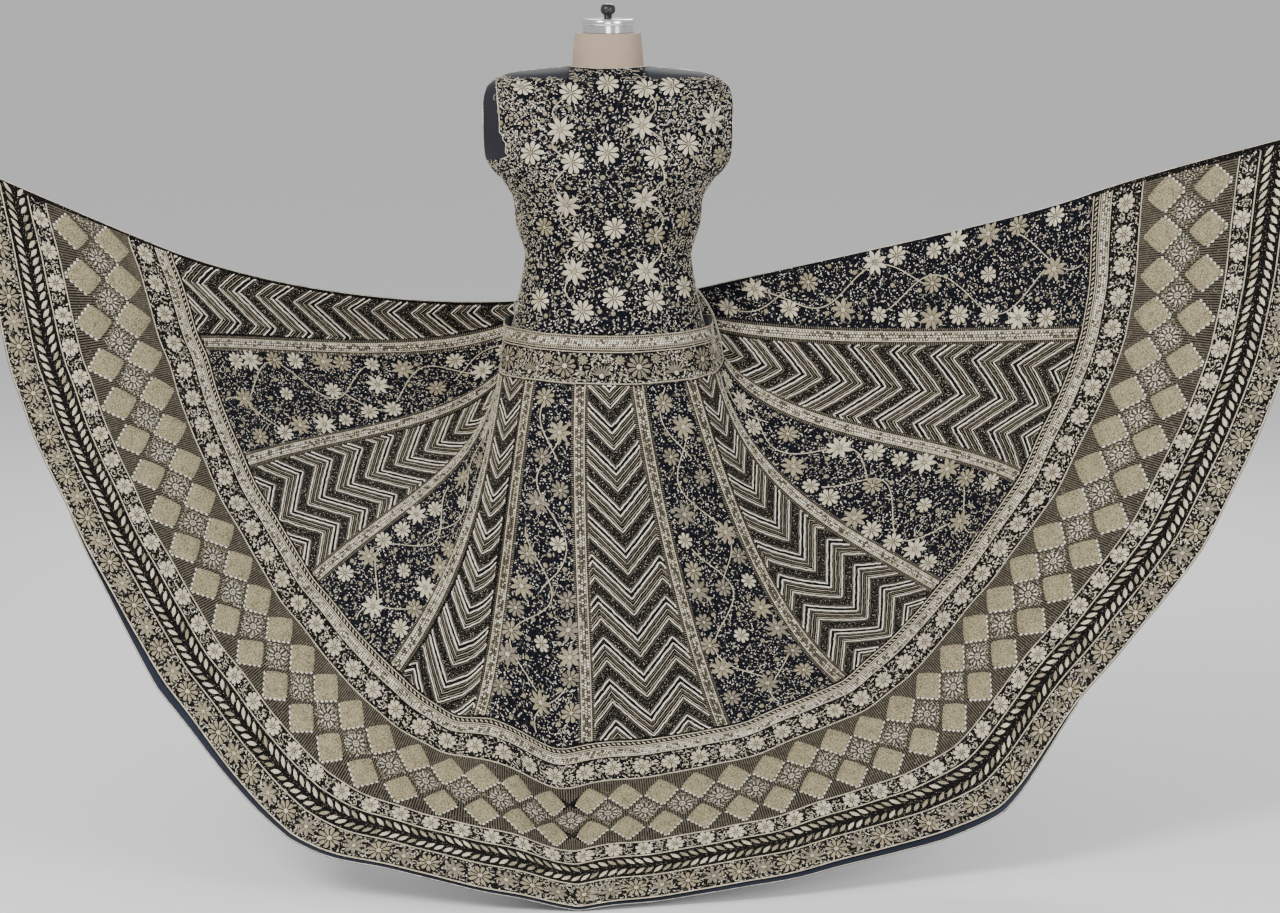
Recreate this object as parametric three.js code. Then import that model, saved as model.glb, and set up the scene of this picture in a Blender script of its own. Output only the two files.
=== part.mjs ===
// Lehenga set on a limbless dress form: a half-circle skirt of twelve kalis with a deep border,
// held out wide and open at the back, a waist belt, and a choli on the form.
// Millimetres, +Z up, the front faces -Y, +X is the viewer's right. The floor is z = 0 and the
// stand's axis is x = y = 0.
import * as THREE from 'three';

// ---- driving sizes -------------------------------------------------------------------------
const KALIS = 12;
const BELT_WIDTH = 88;          // waist belt, top tape and band together
const BELT_TAPE = 28;           // sequin tape along the belt's top
const KALI_END = 722;           // cloth distance from the belt's top to the kali's lower end
const BORDER_WIDTH = 372;       // cloth distance across the border
const BELT_WALL = 3;
const KALI_WALL = 2;
const BORDER_WALL = 2;
const TAPE_WALL = 1.5;
const LINING_WALL = 1;
const CHOLI_WALL = 1.5;
const SEAM_GAP = 0.3;           // between pieces that are sewn edge to edge
const LAY_GAP = 0.3;            // between a piece and what lies on it
const SEAM_TAPE_HALF = 11;      // half the width of a seam tape
const CORD_RISE = 1.5;          // how far a border cord stands out
const BELT_TOP_FRONT = 845;     // height of the belt's top edge at the front
const BELT_TOP_RISE = 20;       // how much higher it sits at the back

// Width of one kali at the belt's top, and how much it widens with each mm down the cloth.
const KALI_TOP_WIDTH = 88;
const KALI_SPREAD = 0.223;
const kaliWidth = (v) => KALI_TOP_WIDTH + KALI_SPREAD * v;

// Lines across the border, as cloth distance below the kali's end: [distance, raised by].
const BORDER_ROWS = [
  [0, 1], [14, 1], [33, 1], [36, 0],          // rope and sequin tape, raised as one band
  [81, 0], [84, 1], [87, 0],                  // cord below the first flower band
  [160, 0],
  [234, 0], [237, 1], [240, 0],               // cord below the diamonds
  [267, 0], [270, 1], [273, 0],               // cord below the second flower band
  [317, 0], [320, 1], [323, 0],               // cord below the leaf band
  [346, 0], [366, 0], [369, 1], [BORDER_WIDTH, 0],
];

// How the skirt is spread. Each row is a seam (whole number, counted from the viewer's left back
// edge) or one of the folds at the front. The cloth leaves the belt's top at `belt`, sets off
// by `leave`, comes into the kali's end `kali` from `arrive` away, and ends at `hem`.
const SPREAD = [
  // seam,  belt x, y,    leave x, y, z,      arrive x, y, z,      kali x, y, z,        hem x, y, z
  [0,      -85, 262,   -220, -85, -15,    180, 100, -85,    -755, -110, 990,   -1070, -300, 1155],
  [1,      -88, 180,   -160, 40, -125,    180, 265, -35,    -705, -115, 830,   -1000, -345, 800],
  [2,     -121, 103,   -60, 35, -225,     190, 255, 30,     -620, -235, 640,   -885, -495, 590],
  [3,     -178, 41,    -15, 10, -280,     170, 200, 130,    -495, -350, 460,   -720, -620, 335],
  [4,     -178, -41,   -25, -5, -260,     105, 115, 130,    -355, -460, 325,   -510, -715, 105],
  [4.7,   -138, -84,   -45, -35, -215,    50, 70, 115,      -255, -460, 247,   -322, -772, 62],
  [5.15,  -110, -108,  -40, -50, -200,    35, 60, 120,      -190, -485, 248,   -180, -800, 36],
  [5.65,  -70, -121,   -25, -65, -195,    10, 62, 128,      -90, -458, 192,    -64, -796, 10],
  [6,     -42, -132,   -20, -70, -195,    0, 72, 130,       -34, -456, 196,    -22, -793, 8],
  [7,      42, -132,    20, -40, -220,    -55, 145, 110,    196, -410, 214,    260, -725, 34],
  [8,     121, -103,    65, -20, -240,    -130, 230, 70,    400, -330, 278,    550, -607, 80],
  [8.35,  144, -84,     53, -15, -256,    -139, 249, 61,    462, -294, 322,    655, -575, 118],
  [9,     178, -41,     20, -5, -280,     -145, 270, 50,    570, -230, 420,    786, -495, 275],
  [10,    178, 41,      15, 15, -220,     -135, 235, 45,    708, -200, 608,    1000, -415, 522],
  [11,    106, 118,     110, -5, -70,     -185, 125, -20,   815, -165, 852,    1146, -355, 840],
  [12,     62, 190,     240, -75, 72,     -135, 50, -60,    835, -142, 1095,   1210, -305, 1222],
];
const ROW_SOFTNESS = 0.75;      // 1 bends the cloth evenly through the rows, 0 folds it at each row

// ---- the skirt's surface -------------------------------------------------------------------
/** The spread table's row at any place between seams, softly curved through the rows. */
function spreadAt(s) {
  let k = 0;
  while (k < SPREAD.length - 2 && s > SPREAD[k + 1][0]) k++;
  const [a, b] = [SPREAD[k], SPREAD[k + 1]];
  const before = SPREAD[Math.max(k - 1, 0)];
  const after = SPREAD[Math.min(k + 2, SPREAD.length - 1)];
  const step = b[0] - a[0];
  const t = (s - a[0]) / step;
  const slope = (p, q, i) => (q[0] === p[0] ? 0 : (q[i] - p[i]) / (q[0] - p[0]));
  return a.map((_, i) => {
    const chord = b[i] - a[i];
    const m0 = chord + ROW_SOFTNESS * (slope(before, b, i) * step - chord);
    const m1 = chord + ROW_SOFTNESS * (slope(a, after, i) * step - chord);
    return (2 * t ** 3 - 3 * t ** 2 + 1) * a[i] + (t ** 3 - 2 * t ** 2 + t) * m0
      + (3 * t ** 2 - 2 * t ** 3) * b[i] + (t ** 3 - t ** 2) * m1;
  });
}

const bezier = (p, t) => new THREE.CubicBezierCurve3(...p).getPoint(t);

const CURVE_STEPS = 48;
const curveCache = new Map();

/** The lengthwise curves of the cloth at one place between seams, with running lengths. */
function curvesAt(s) {
  const key = s.toFixed(6);
  if (!curveCache.has(key)) {
    const r = spreadAt(s);
    const lift = BELT_TOP_RISE * (Math.min(Math.max(r[2], -135), 135) + 135) / 270;
    const top = new THREE.Vector3(r[1], r[2], BELT_TOP_FRONT + lift);
    const leave = new THREE.Vector3(r[3], r[4], r[5]).add(top);
    const kali = new THREE.Vector3(r[9], r[10], r[11]);
    const arrive = new THREE.Vector3(r[6], r[7], r[8]).add(kali);
    const hem = new THREE.Vector3(r[12], r[13], r[14]);
    const fall = hem.clone().sub(kali);
    const reach = fall.length();
    const away = kali.clone().sub(arrive).normalize().add(fall.clone().normalize())
      .normalize().multiplyScalar(reach / 3);
    const panels = [[top, leave, arrive, kali],
      [kali, kali.clone().add(away), hem.clone().sub(fall.multiplyScalar(1 / 3)), hem]];
    const measured = panels.map((p) => {
      const points = Array.from({ length: CURVE_STEPS + 1 }, (_, i) => bezier(p, i / CURVE_STEPS));
      const run = [0];
      for (let i = 1; i <= CURVE_STEPS; i++) run.push(run[i - 1] + points[i].distanceTo(points[i - 1]));
      return { points, run };
    });
    curveCache.set(key, measured);
  }
  return curveCache.get(key);
}

/** Point of the cloth's outer face: s counts seams, v is the cloth distance below the belt's top. */
function cloth(s, v) {
  const [panel, border] = curvesAt(s);
  const below = v > KALI_END;
  const { points, run } = below ? border : panel;
  const part = below ? (v - KALI_END) / BORDER_WIDTH : v / KALI_END;
  const want = part * run[CURVE_STEPS];
  let k = 0;
  while (k < CURVE_STEPS - 1 && run[k + 1] < want) k++;
  const t = (want - run[k]) / (run[k + 1] - run[k]);
  return points[k].clone().lerp(points[k + 1], t);   // t past 1 runs on straight below the hem
}

/** Direction out of the cloth's face. */
function clothNormal(s, v) {
  const ds = 0.02;
  const dv = 4;
  const across = cloth(Math.min(s + ds, KALIS), v).sub(cloth(Math.max(s - ds, 0), v));
  const down = cloth(s, v + dv).sub(cloth(s, Math.max(v - dv, 0)));
  return down.cross(across).normalize();
}

const clothOut = (s, v, out) => cloth(s, v).addScaledVector(clothNormal(s, v), out);

// ---- walls ---------------------------------------------------------------------------------
/** A closed body from an outer and an inner grid of points. Rows run down, columns to the right. */
function wall(outer, inner) {
  const rows = outer.length;
  const cols = outer[0].length;
  const points = [...outer.flat(), ...inner.flat()];
  const o = (i, j) => i * cols + j;
  const n = (i, j) => rows * cols + i * cols + j;
  const index = [];
  const quad = (a, b, c, d) => index.push(a, b, c, b, d, c);
  for (let i = 0; i < rows - 1; i++) {
    for (let j = 0; j < cols - 1; j++) {
      quad(o(i, j), o(i + 1, j), o(i, j + 1), o(i + 1, j + 1));
      quad(n(i, j), n(i, j + 1), n(i + 1, j), n(i + 1, j + 1));
    }
    quad(o(i, 0), n(i, 0), o(i + 1, 0), n(i + 1, 0));
    quad(o(i, cols - 1), o(i + 1, cols - 1), n(i, cols - 1), n(i + 1, cols - 1));
  }
  for (let j = 0; j < cols - 1; j++) {
    quad(o(0, j), o(0, j + 1), n(0, j), n(0, j + 1));
    quad(o(rows - 1, j), n(rows - 1, j), o(rows - 1, j + 1), n(rows - 1, j + 1));
  }
  const geometry = new THREE.BufferGeometry().setFromPoints(points);
  geometry.setIndex(index);
  geometry.computeVertexNormals();
  return geometry;
}

/** A closed body through rings of equal count, from the top ring down, with flat ends. */
function loft(rings) {
  const count = rings[0].length;
  const points = rings.flat();
  const index = [];
  for (let i = 0; i < rings.length - 1; i++) {
    for (let j = 0; j < count; j++) {
      const [a, c] = [i * count + j, i * count + (j + 1) % count];
      index.push(a, a + count, c, a + count, c + count, c);
    }
  }
  const last = (rings.length - 1) * count;
  for (let j = 1; j < count - 1; j++) index.push(0, j, j + 1, last, last + j + 1, last + j);
  const geometry = new THREE.BufferGeometry().setFromPoints(points);
  geometry.setIndex(index);
  geometry.computeVertexNormals();
  return geometry;
}

// ---- columns and rows of the skirt's pieces ------------------------------------------------
// Where a kali's wall has its inner columns, as parts of its width. Two kalis have columns on folds.
const KALI_COLUMNS = Array.from({ length: KALIS }, () => [1 / 3, 2 / 3]);
KALI_COLUMNS[4] = [0.36, 0.7];
KALI_COLUMNS[5] = [0.15, 0.4, 0.65];
KALI_COLUMNS[8] = [0.35, 0.67];
const KALI_ROWS = [0.3, 60, 130, 210, 300, 400, 500, 610].map((d, i) => (i ? BELT_WIDTH + d : BELT_WIDTH + 0.5))
  .concat(KALI_END - SEAM_GAP / 2);

/** Column places of kali k at cloth distance v, from its left seam to its right one. */
function kaliColumns(k, v) {
  const edge = SEAM_GAP / 2 / kaliWidth(v);
  const tape = SEAM_TAPE_HALF / kaliWidth(v);
  return [edge, tape, ...KALI_COLUMNS[k], 1 - tape, 1 - edge].map((part) => k + part);
}

const kaliGrid = (k, out) => KALI_ROWS.map((v) => kaliColumns(k, v).map((s) => clothOut(s, v, out)));

function borderGrid(k, rise, out) {
  return BORDER_ROWS.map(([d, raised], i) => {
    const v = KALI_END + (i ? d : SEAM_GAP / 2);
    return kaliColumns(k, KALI_END).map((s) => clothOut(s, v, out + rise * raised));
  });
}

function seamTapeGrid(k, out) {
  return KALI_ROWS.map((v) => {
    const half = SEAM_TAPE_HALF / kaliWidth(v);
    return [k - half, k, k + half].map((s) => clothOut(s, v, out));
  });
}

// The belt runs over all seams. Its lower edge is piped.
const BELT_ROWS = [[BELT_TAPE + SEAM_GAP, 0], [55, 0], [81, 0], [84, 1.5], [BELT_WIDTH - 0.5, 0]];
const beltColumns = Array.from({ length: 3 * KALIS + 1 }, (_, i) => i / 3);
const beltGrid = (rows, out, scale) =>
  rows.map(([v, raised]) => beltColumns.map((s) => clothOut(s, v, out + scale * raised)));

// How far the lining shows below the hem, at seams 2 to 9.
const LINING_SHOWS = { 2: 1, 3: 16, 4: 8, 5: 6, 6: 6, 7: 10, 8: 14, 9: 2 };
const LINING_ROWS = [273, 323, 346, BORDER_WIDTH];

function liningGrid(k, out) {
  const columns = kaliColumns(k, KALI_END);
  const shows = columns.map((s) => {
    const t = s - k;
    return LINING_SHOWS[k] + (LINING_SHOWS[k + 1] - LINING_SHOWS[k]) * t;
  });
  const rows = LINING_ROWS.map((d) => columns.map((s) => clothOut(s, KALI_END + d, out)));
  rows.push(columns.map((s, i) => clothOut(s, KALI_END + BORDER_WIDTH + shows[i], out)));
  return rows;
}

// ---- the form and the choli ----------------------------------------------------------------
const RING_POINTS = 24;         // columns round the form; the choli uses the same ones

// Sections of the form. `wide` and the two depths are the form's own half sizes, `square` is 2 for
// an ellipse and more for a squarer section, and `ease` is the choli's clearance there.
const FORM_RINGS = [
  // z,  wide, front, back, square, ease
  [1361, 58, 50, 50, 2.0, 0],
  [1325, 61, 52, 52, 2.0, 0],
  [1302, 66, 56, 56, 2.0, 0.5],
  [1296, 105, 62, 60, 2.2, 1.5],
  [1287, 168, 70, 68, 2.4, 3],
  [1268, 196, 82, 80, 2.5, 9],
  [1240, 207, 95, 90, 2.5, 8],
  [1192, 208, 110, 96, 2.5, 6],
  [1148, 200, 124, 98, 2.5, 7],
  [1114, 180, 128, 96, 2.4, 7],
  [1076, 163, 122, 94, 2.3, 2.5],
  [1030, 158, 108, 88, 2.2, 2.5],
  [975, 142, 97, 84, 2.1, 2.5],
  [920, 150, 107, 92, 2.1, 2],
  [873, 160, 121, 104, 2.1, 1],
  [845, 168, 127.2, 110, 2.1, 0.6],
  [826, 173, 127, 113, 2.1, 0.5],
  [790, 183, 126, 116, 2.1, 0],
  [735, 185, 124, 112, 2.1, 0],
];
const NECK_RING = 2;            // the choli starts at this ring
const CHOLI_HEM_RING = 16;      // and ends at this one
const TORSO_BOTTOM = 735;

// The armholes: half their depth front to back at each height between their ends.
const ARMHOLE = { top: 1268, bottom: 1114, half: 46, flare: 12 };

/** Point of a section; turn is 0 at the front and grows to the right. */
function sectionPoint([z, wide, front, back, square], turn) {
  const [sin, cos] = [Math.sin(turn), Math.cos(turn)];
  const power = 2 / square;
  const x = wide * Math.sign(sin) * Math.abs(sin) ** power;
  const y = -(cos > 0 ? front : back) * Math.sign(cos) * Math.abs(cos) ** power;
  return new THREE.Vector3(x, y, z);
}

/** Point of section i moved out of the form's surface. */
function formOut(i, turn, out) {
  const point = sectionPoint(FORM_RINGS[i], turn);
  const down = sectionPoint(FORM_RINGS[i + 1], turn).sub(sectionPoint(FORM_RINGS[i - 1], turn));
  const across = sectionPoint(FORM_RINGS[i], turn + 0.05).sub(sectionPoint(FORM_RINGS[i], turn - 0.05));
  return point.addScaledVector(down.cross(across).normalize(), out);
}

const ringTurns = Array.from({ length: RING_POINTS }, (_, j) => 2 * Math.PI * j / RING_POINTS);
const torso = () => loft(FORM_RINGS.map((ring) => ringTurns.map((turn) => sectionPoint(ring, turn))));

/** Half depth of the armhole at height z. */
function armholeHalf(z) {
  const { top, bottom, half } = ARMHOLE;
  if (z >= top || z <= bottom) return 0;
  return half * Math.sqrt(1 - (2 * (z - bottom) / (top - bottom) - 1) ** 2);
}

/** Grid of one half of the choli: middle 0 is the front, PI the back. */
function choliGrid(middle, out) {
  const columns = RING_POINTS / 2;
  return FORM_RINGS.slice(NECK_RING, CHOLI_HEM_RING + 1).map((ring, i) => {
    const [z, , front, back, square, ease] = ring;
    const depth = (middle ? back : front) + ease;
    const open = Math.max(armholeHalf(z), SEAM_GAP / 2);
    const reach = Math.acos(Math.min((open / depth) ** (square / 2), 1));
    return Array.from({ length: columns + 1 }, (_, j) => {
      const part = 2 * j / columns - 1;
      const turn = part * (Math.abs(part) === 1 || open > 1 ? reach : Math.PI / 2);
      const point = formOut(NECK_RING + i, middle + turn, ease + out);
      point.x += Math.sign(point.x) * ARMHOLE.flare * (open / ARMHOLE.half) * Math.abs(part) ** 6;
      return point;
    });
  });
}

// ---- materials and the part ----------------------------------------------------------------
const cloths = {
  zigzag: new THREE.MeshStandardMaterial({ color: 0x4a463f, roughness: 0.75 }),
  floral: new THREE.MeshStandardMaterial({ color: 0x3b3d46, roughness: 0.75 }),
  border: new THREE.MeshStandardMaterial({ color: 0x857c69, roughness: 0.7 }),
  tape: new THREE.MeshStandardMaterial({ color: 0xb3a78c, roughness: 0.45, metalness: 0.3 }),
  choli: new THREE.MeshStandardMaterial({ color: 0x7d776a, roughness: 0.7 }),
  lining: new THREE.MeshStandardMaterial({ color: 0x14182a, roughness: 0.5 }),
};
const formCloth = new THREE.MeshStandardMaterial({ color: 0xb59a78, roughness: 0.85 });
const chrome = new THREE.MeshStandardMaterial({ color: 0xd8d8dc, roughness: 0.12, metalness: 1 });
const blackPlastic = new THREE.MeshStandardMaterial({ color: 0x111113, roughness: 0.4 });

const part = new THREE.Group();
part.name = 'lehenga_set';

function add(name, geometry, material) {
  const mesh = new THREE.Mesh(geometry, material);
  mesh.name = name;
  part.add(mesh);
}

const numbered = (name, k) => `${name}_${String(k).padStart(2, '0')}`;

for (let k = 0; k < KALIS; k++) {
  add(numbered('kali', k + 1), wall(kaliGrid(k, 0), kaliGrid(k, -KALI_WALL)),
    k % 2 ? cloths.floral : cloths.zigzag);
  add(numbered('border', k + 1), wall(borderGrid(k, CORD_RISE, 0), borderGrid(k, 0, -BORDER_WALL)),
    cloths.border);
}
for (let k = 1; k < KALIS; k++) {
  add(numbered('seam_tape', k), wall(seamTapeGrid(k, LAY_GAP + TAPE_WALL), seamTapeGrid(k, LAY_GAP)),
    cloths.tape);
}
const tapeRows = [[0, 0], [BELT_TAPE, 0]];
add('belt_band', wall(beltGrid(BELT_ROWS, 0.5, 1), beltGrid(BELT_ROWS, -BELT_WALL + 0.5, 0)), cloths.border);
add('belt_top_tape', wall(beltGrid(tapeRows, 0.5, 0), beltGrid(tapeRows, -BELT_WALL + 0.5, 0)), cloths.tape);
for (let k = 2; k < 9; k++) {
  const face = -BORDER_WALL - LAY_GAP;
  add(numbered('lining', k + 1), wall(liningGrid(k, face), liningGrid(k, face - LINING_WALL)), cloths.lining);
}

add('choli_front', wall(choliGrid(0, CHOLI_WALL), choliGrid(0, 0)), cloths.choli);
add('choli_back', wall(choliGrid(Math.PI, CHOLI_WALL), choliGrid(Math.PI, 0)), cloths.choli);

// The form stands on a pole and a round flat base.
const ROUND = 32;
const NECK_TOP = FORM_RINGS[0][0];
const CAP = { radius: 46, height: 24 };
const KNOB = { radius: 13, height: 26 };
const POLE_RADIUS = 12.5;
const BASE = { radius: 160, height: 8 };

/** A closed turned body from a profile of [radius, z] pairs. */
function turned(profile, segments = ROUND) {
  const points = profile.map(([r, z]) => new THREE.Vector2(r, z));
  return new THREE.LatheGeometry([...points, points[0]], segments).rotateX(Math.PI / 2);
}

const capFoot = NECK_TOP + SEAM_GAP;
const capTop = capFoot + CAP.height;
add('form_torso', torso(), formCloth);
add('form_neck_cap', turned([[0, capFoot], [CAP.radius - 2, capFoot], [CAP.radius - 1, capFoot + 13],
  [CAP.radius, capFoot + 15], [CAP.radius, capTop - 3], [CAP.radius - 3, capTop], [0, capTop]]), chrome);
const knobFoot = capTop + SEAM_GAP;
add('form_knob', turned([[0, knobFoot], [7, knobFoot], [8, knobFoot + 8], [KNOB.radius, knobFoot + 12],
  [KNOB.radius, knobFoot + KNOB.height - 3], [KNOB.radius - 4, knobFoot + KNOB.height],
  [0, knobFoot + KNOB.height]], 20), blackPlastic);
add('form_pole', turned([[0, BASE.height + SEAM_GAP], [POLE_RADIUS, BASE.height + SEAM_GAP],
  [POLE_RADIUS, TORSO_BOTTOM - SEAM_GAP], [0, TORSO_BOTTOM - SEAM_GAP]], 20), chrome);
add('form_base', turned([[0, 0], [BASE.radius, 0], [BASE.radius, BASE.height - 3],
  [BASE.radius - 4, BASE.height], [0, BASE.height]], 48), blackPlastic);

export default part;
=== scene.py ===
# %% [markdown]
# # A lehenga set on a dress form
# The set is a long embroidered skirt (lehenga) spread out like a fan, and a sleeveless blouse piece
# (choli) pinned round a dress form. Every cloth piece is a thin closed shell that lies on one smooth
# surface. The needlework is real geometry laid on that surface: cords are ridged ribbons, petals and
# leaves are small raised pads, sequins and beads are tiny cones. Painting them in a material would
# be quicker, but they would lose the relief that catches the light.

# %% Load the frame
import bpy
import math
import numpy as np
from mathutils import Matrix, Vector


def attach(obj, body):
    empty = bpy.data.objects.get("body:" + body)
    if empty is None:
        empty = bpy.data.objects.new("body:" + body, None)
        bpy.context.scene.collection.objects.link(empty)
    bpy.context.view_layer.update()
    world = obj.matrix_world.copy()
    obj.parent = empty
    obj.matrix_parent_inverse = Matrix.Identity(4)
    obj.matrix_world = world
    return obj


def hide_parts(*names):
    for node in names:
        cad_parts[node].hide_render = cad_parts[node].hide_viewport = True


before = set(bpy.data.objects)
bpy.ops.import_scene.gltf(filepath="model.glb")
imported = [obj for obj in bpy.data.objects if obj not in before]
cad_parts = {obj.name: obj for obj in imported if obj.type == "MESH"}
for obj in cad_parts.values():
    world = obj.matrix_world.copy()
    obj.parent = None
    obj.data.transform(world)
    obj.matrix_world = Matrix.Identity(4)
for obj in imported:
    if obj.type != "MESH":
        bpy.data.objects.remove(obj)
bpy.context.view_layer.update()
MM = 0.001                            # the numbers below are in mm, and Blender's are in metres

# %% [markdown]
# ## The surface that all cloth lies on
# The skirt has 12 tapered panels (kalis). A row of the table below is a seam or a front fold. It says
# where the cloth leaves the belt, how it sets off and arrives, where the kali ends and where the hem is.
# Between rows the numbers are blended with soft curves. A place on the cloth is then two numbers:
# s counts seams round the skirt, v is the distance down the cloth in mm. Working in s and v keeps
# patterns flat and simple, as on a cutting table, and the surface bends them into shape.

# %% The skirt's measures
KALIS = 12
BELT_TAPE, BELT_WIDTH = 28, 88        # the sequin tape, and the whole belt with it
KALI_END, BORDER_WIDTH = 722, 372     # where a kali ends, and how deep the border is
HEM = KALI_END + BORDER_WIDTH
BELT_TOP_FRONT, BELT_TOP_RISE = 845, 20
ROW_SOFTNESS = 0.75
TAPE_HALF = 11                        # half a seam tape's width
# How far above (or below) the skirt's surface the outer and the inner face of each cloth lie
KALI_FACES, BELT_FACES, TAPE_FACES, LINING_FACES = (0, -1.6), (0.5, -1.6), (1.5, 0.4), (-2.3, -3.1)
SPREAD = np.array([
    # seam, belt x y, leave x y z, arrive x y z, kali x y z, hem x y z
    [0, -85, 262, -220, -85, -15, 180, 100, -85, -755, -110, 990, -1070, -300, 1155],
    [1, -88, 180, -160, 40, -125, 180, 265, -35, -705, -115, 830, -1000, -345, 800],
    [2, -121, 103, -60, 35, -225, 190, 255, 30, -620, -235, 640, -885, -495, 590],
    [3, -178, 41, -15, 10, -280, 170, 200, 130, -495, -350, 460, -720, -620, 335],
    [4, -178, -41, -25, -5, -260, 105, 115, 130, -355, -460, 325, -510, -715, 105],
    [4.7, -138, -84, -45, -35, -215, 50, 70, 115, -255, -460, 247, -322, -772, 62],
    [5.15, -110, -108, -40, -50, -200, 35, 60, 120, -190, -485, 248, -180, -800, 36],
    [5.65, -70, -121, -25, -65, -195, 10, 62, 128, -90, -458, 192, -64, -796, 10],
    [6, -42, -132, -20, -70, -195, 0, 72, 130, -34, -456, 196, -22, -793, 8],
    [7, 42, -132, 20, -40, -220, -55, 145, 110, 196, -410, 214, 260, -725, 34],
    [8, 121, -103, 65, -20, -240, -130, 230, 70, 400, -330, 278, 550, -607, 80],
    [8.35, 144, -84, 53, -15, -256, -139, 249, 61, 462, -294, 322, 655, -575, 118],
    [9, 178, -41, 20, -5, -280, -145, 270, 50, 570, -230, 420, 786, -495, 275],
    [10, 178, 41, 15, 15, -220, -135, 235, 45, 708, -200, 608, 1000, -415, 522],
    [11, 106, 118, 110, -5, -70, -185, 125, -20, 815, -165, 852, 1146, -355, 840],
    [12, 62, 190, 240, -75, 72, -135, 50, -60, 835, -142, 1095, 1210, -305, 1222],
])
print(len(SPREAD), "rows in the table,", HEM, "mm of cloth from the belt's top to the hem")


# %% Blend the table's rows
def spread_at(s):
    """The table's row at each place in s, softly curved through the rows."""
    last = len(SPREAD) - 1
    k = np.clip(np.searchsorted(SPREAD[:, 0], s) - 1, 0, last - 1)
    before, a, b, after = (SPREAD[np.clip(k + i, 0, last)] for i in (-1, 0, 1, 2))
    step = b[:, :1] - a[:, :1]
    t = (s[:, None] - a[:, :1]) / step
    chord = b - a
    ease_in = chord + ROW_SOFTNESS * ((b - before) / (b[:, :1] - before[:, :1]) * step - chord)
    ease_out = chord + ROW_SOFTNESS * ((after - a) / (after[:, :1] - a[:, :1]) * step - chord)
    return ((2 * t**3 - 3 * t**2 + 1) * a + (t**3 - 2 * t**2 + t) * ease_in
            + (3 * t**2 - 2 * t**3) * b + (t**3 - t**2) * ease_out)


print("halfway between seams 6 and 7 the hem is at", spread_at(np.array([6.5]))[0, 12:].round().tolist())

# %% A curve's points at even distances
def unit(a):
    """The same directions, each with a length of 1."""
    return a / np.maximum(np.linalg.norm(a, axis=-1, keepdims=True), 1e-9)


def along_bezier(corners, parts, steps=48):
    """Points on many cubic curves at parts of their own length; past 1 they run on straight."""
    t = np.linspace(0, 1, steps + 1)[None, :, None]
    p, q, r, w = (c[:, None, :] for c in corners)
    points = (1 - t)**3 * p + 3 * t * (1 - t)**2 * q + 3 * t**2 * (1 - t) * r + t**3 * w
    out = np.empty((len(points), len(parts), 3))
    for i, line in enumerate(points):
        run = np.concatenate([[0], np.cumsum(np.linalg.norm(np.diff(line, axis=0), axis=1))])
        want = parts * run[-1]
        k = np.clip(np.searchsorted(run, want) - 1, 0, steps - 1)
        f = ((want - run[k]) / (run[k + 1] - run[k]))[:, None]
        out[i] = line[k] * (1 - f) + line[k + 1] * f
    return out


# %% A cloth surface that anything can be laid on
class Surface:
    """A grid of points in mm. u runs across and v down, and at() gives any place between."""

    def __init__(self, us, vs, points):
        self.us, self.vs, self.points = us, vs, points
        across = np.gradient(points, us, axis=0)
        down = np.gradient(points, vs, axis=1)
        self.normals = unit(np.cross(down, across))
        self.measures = np.stack([np.linalg.norm(across, axis=2), np.linalg.norm(down, axis=2)], 2)

    def blend(self, grid, u, v):
        gu = np.interp(u, self.us, np.arange(len(self.us)))
        gv = np.interp(v, self.vs, np.arange(len(self.vs)))
        i = np.clip(gu.astype(int), 0, len(self.us) - 2)
        j = np.clip(gv.astype(int), 0, len(self.vs) - 2)
        a, b = (gu - i)[..., None], (gv - j)[..., None]
        return ((grid[i, j] * (1 - b) + grid[i, j + 1] * b) * (1 - a)
                + (grid[i + 1, j] * (1 - b) + grid[i + 1, j + 1] * b) * a)

    def at(self, u, v, lift=0.0):
        u, v, lift = np.broadcast_arrays(u, v, lift)
        place = self.blend(self.points, u, v)
        return place + unit(self.blend(self.normals, u, v)) * np.asarray(lift)[..., None]

    def scale(self, u, v):
        """mm of cloth for one step of u, and for one step of v."""
        m = self.blend(self.measures, *np.broadcast_arrays(u, v))
        return m[..., 0], m[..., 1]


# %% The surface's rows and columns, and the curves down it
PER_KALI, KALI_ROWS, BORDER_ROWS = 20, 91, 47
PAST_HEM = np.array([8, 16, 24])      # a little more surface for the lining that shows
BELT_DEPTH = 135                      # how far the belt reaches to the front, and to the back
GRID_S = np.linspace(0, KALIS, KALIS * PER_KALI + 1)
GRID_V = np.concatenate([np.linspace(0, KALI_END, KALI_ROWS),
                         KALI_END + np.linspace(0, BORDER_WIDTH, BORDER_ROWS)[1:], HEM + PAST_HEM])
row = spread_at(GRID_S)
rise = BELT_TOP_RISE * (np.clip(row[:, 2], -BELT_DEPTH, BELT_DEPTH) + BELT_DEPTH) / (2 * BELT_DEPTH)
top = np.column_stack([row[:, 1:3], BELT_TOP_FRONT + rise])
kali_end, hem = row[:, 9:12], row[:, 12:15]
leave, arrive = top + row[:, 3:6], kali_end + row[:, 6:9]
fall = hem - kali_end
away = unit(unit(kali_end - arrive) + unit(fall)) * np.linalg.norm(fall, axis=1)[:, None] / 3
panel_part = GRID_V[GRID_V <= KALI_END] / KALI_END
border_part = (GRID_V[GRID_V > KALI_END] - KALI_END) / BORDER_WIDTH
cloth_points = np.concatenate([
    along_bezier((top, leave, arrive, kali_end), panel_part),
    along_bezier((kali_end, kali_end + away, hem - fall / 3, hem), border_part)], axis=1)
print("skirt surface:", cloth_points.shape[:2], "points")

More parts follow.
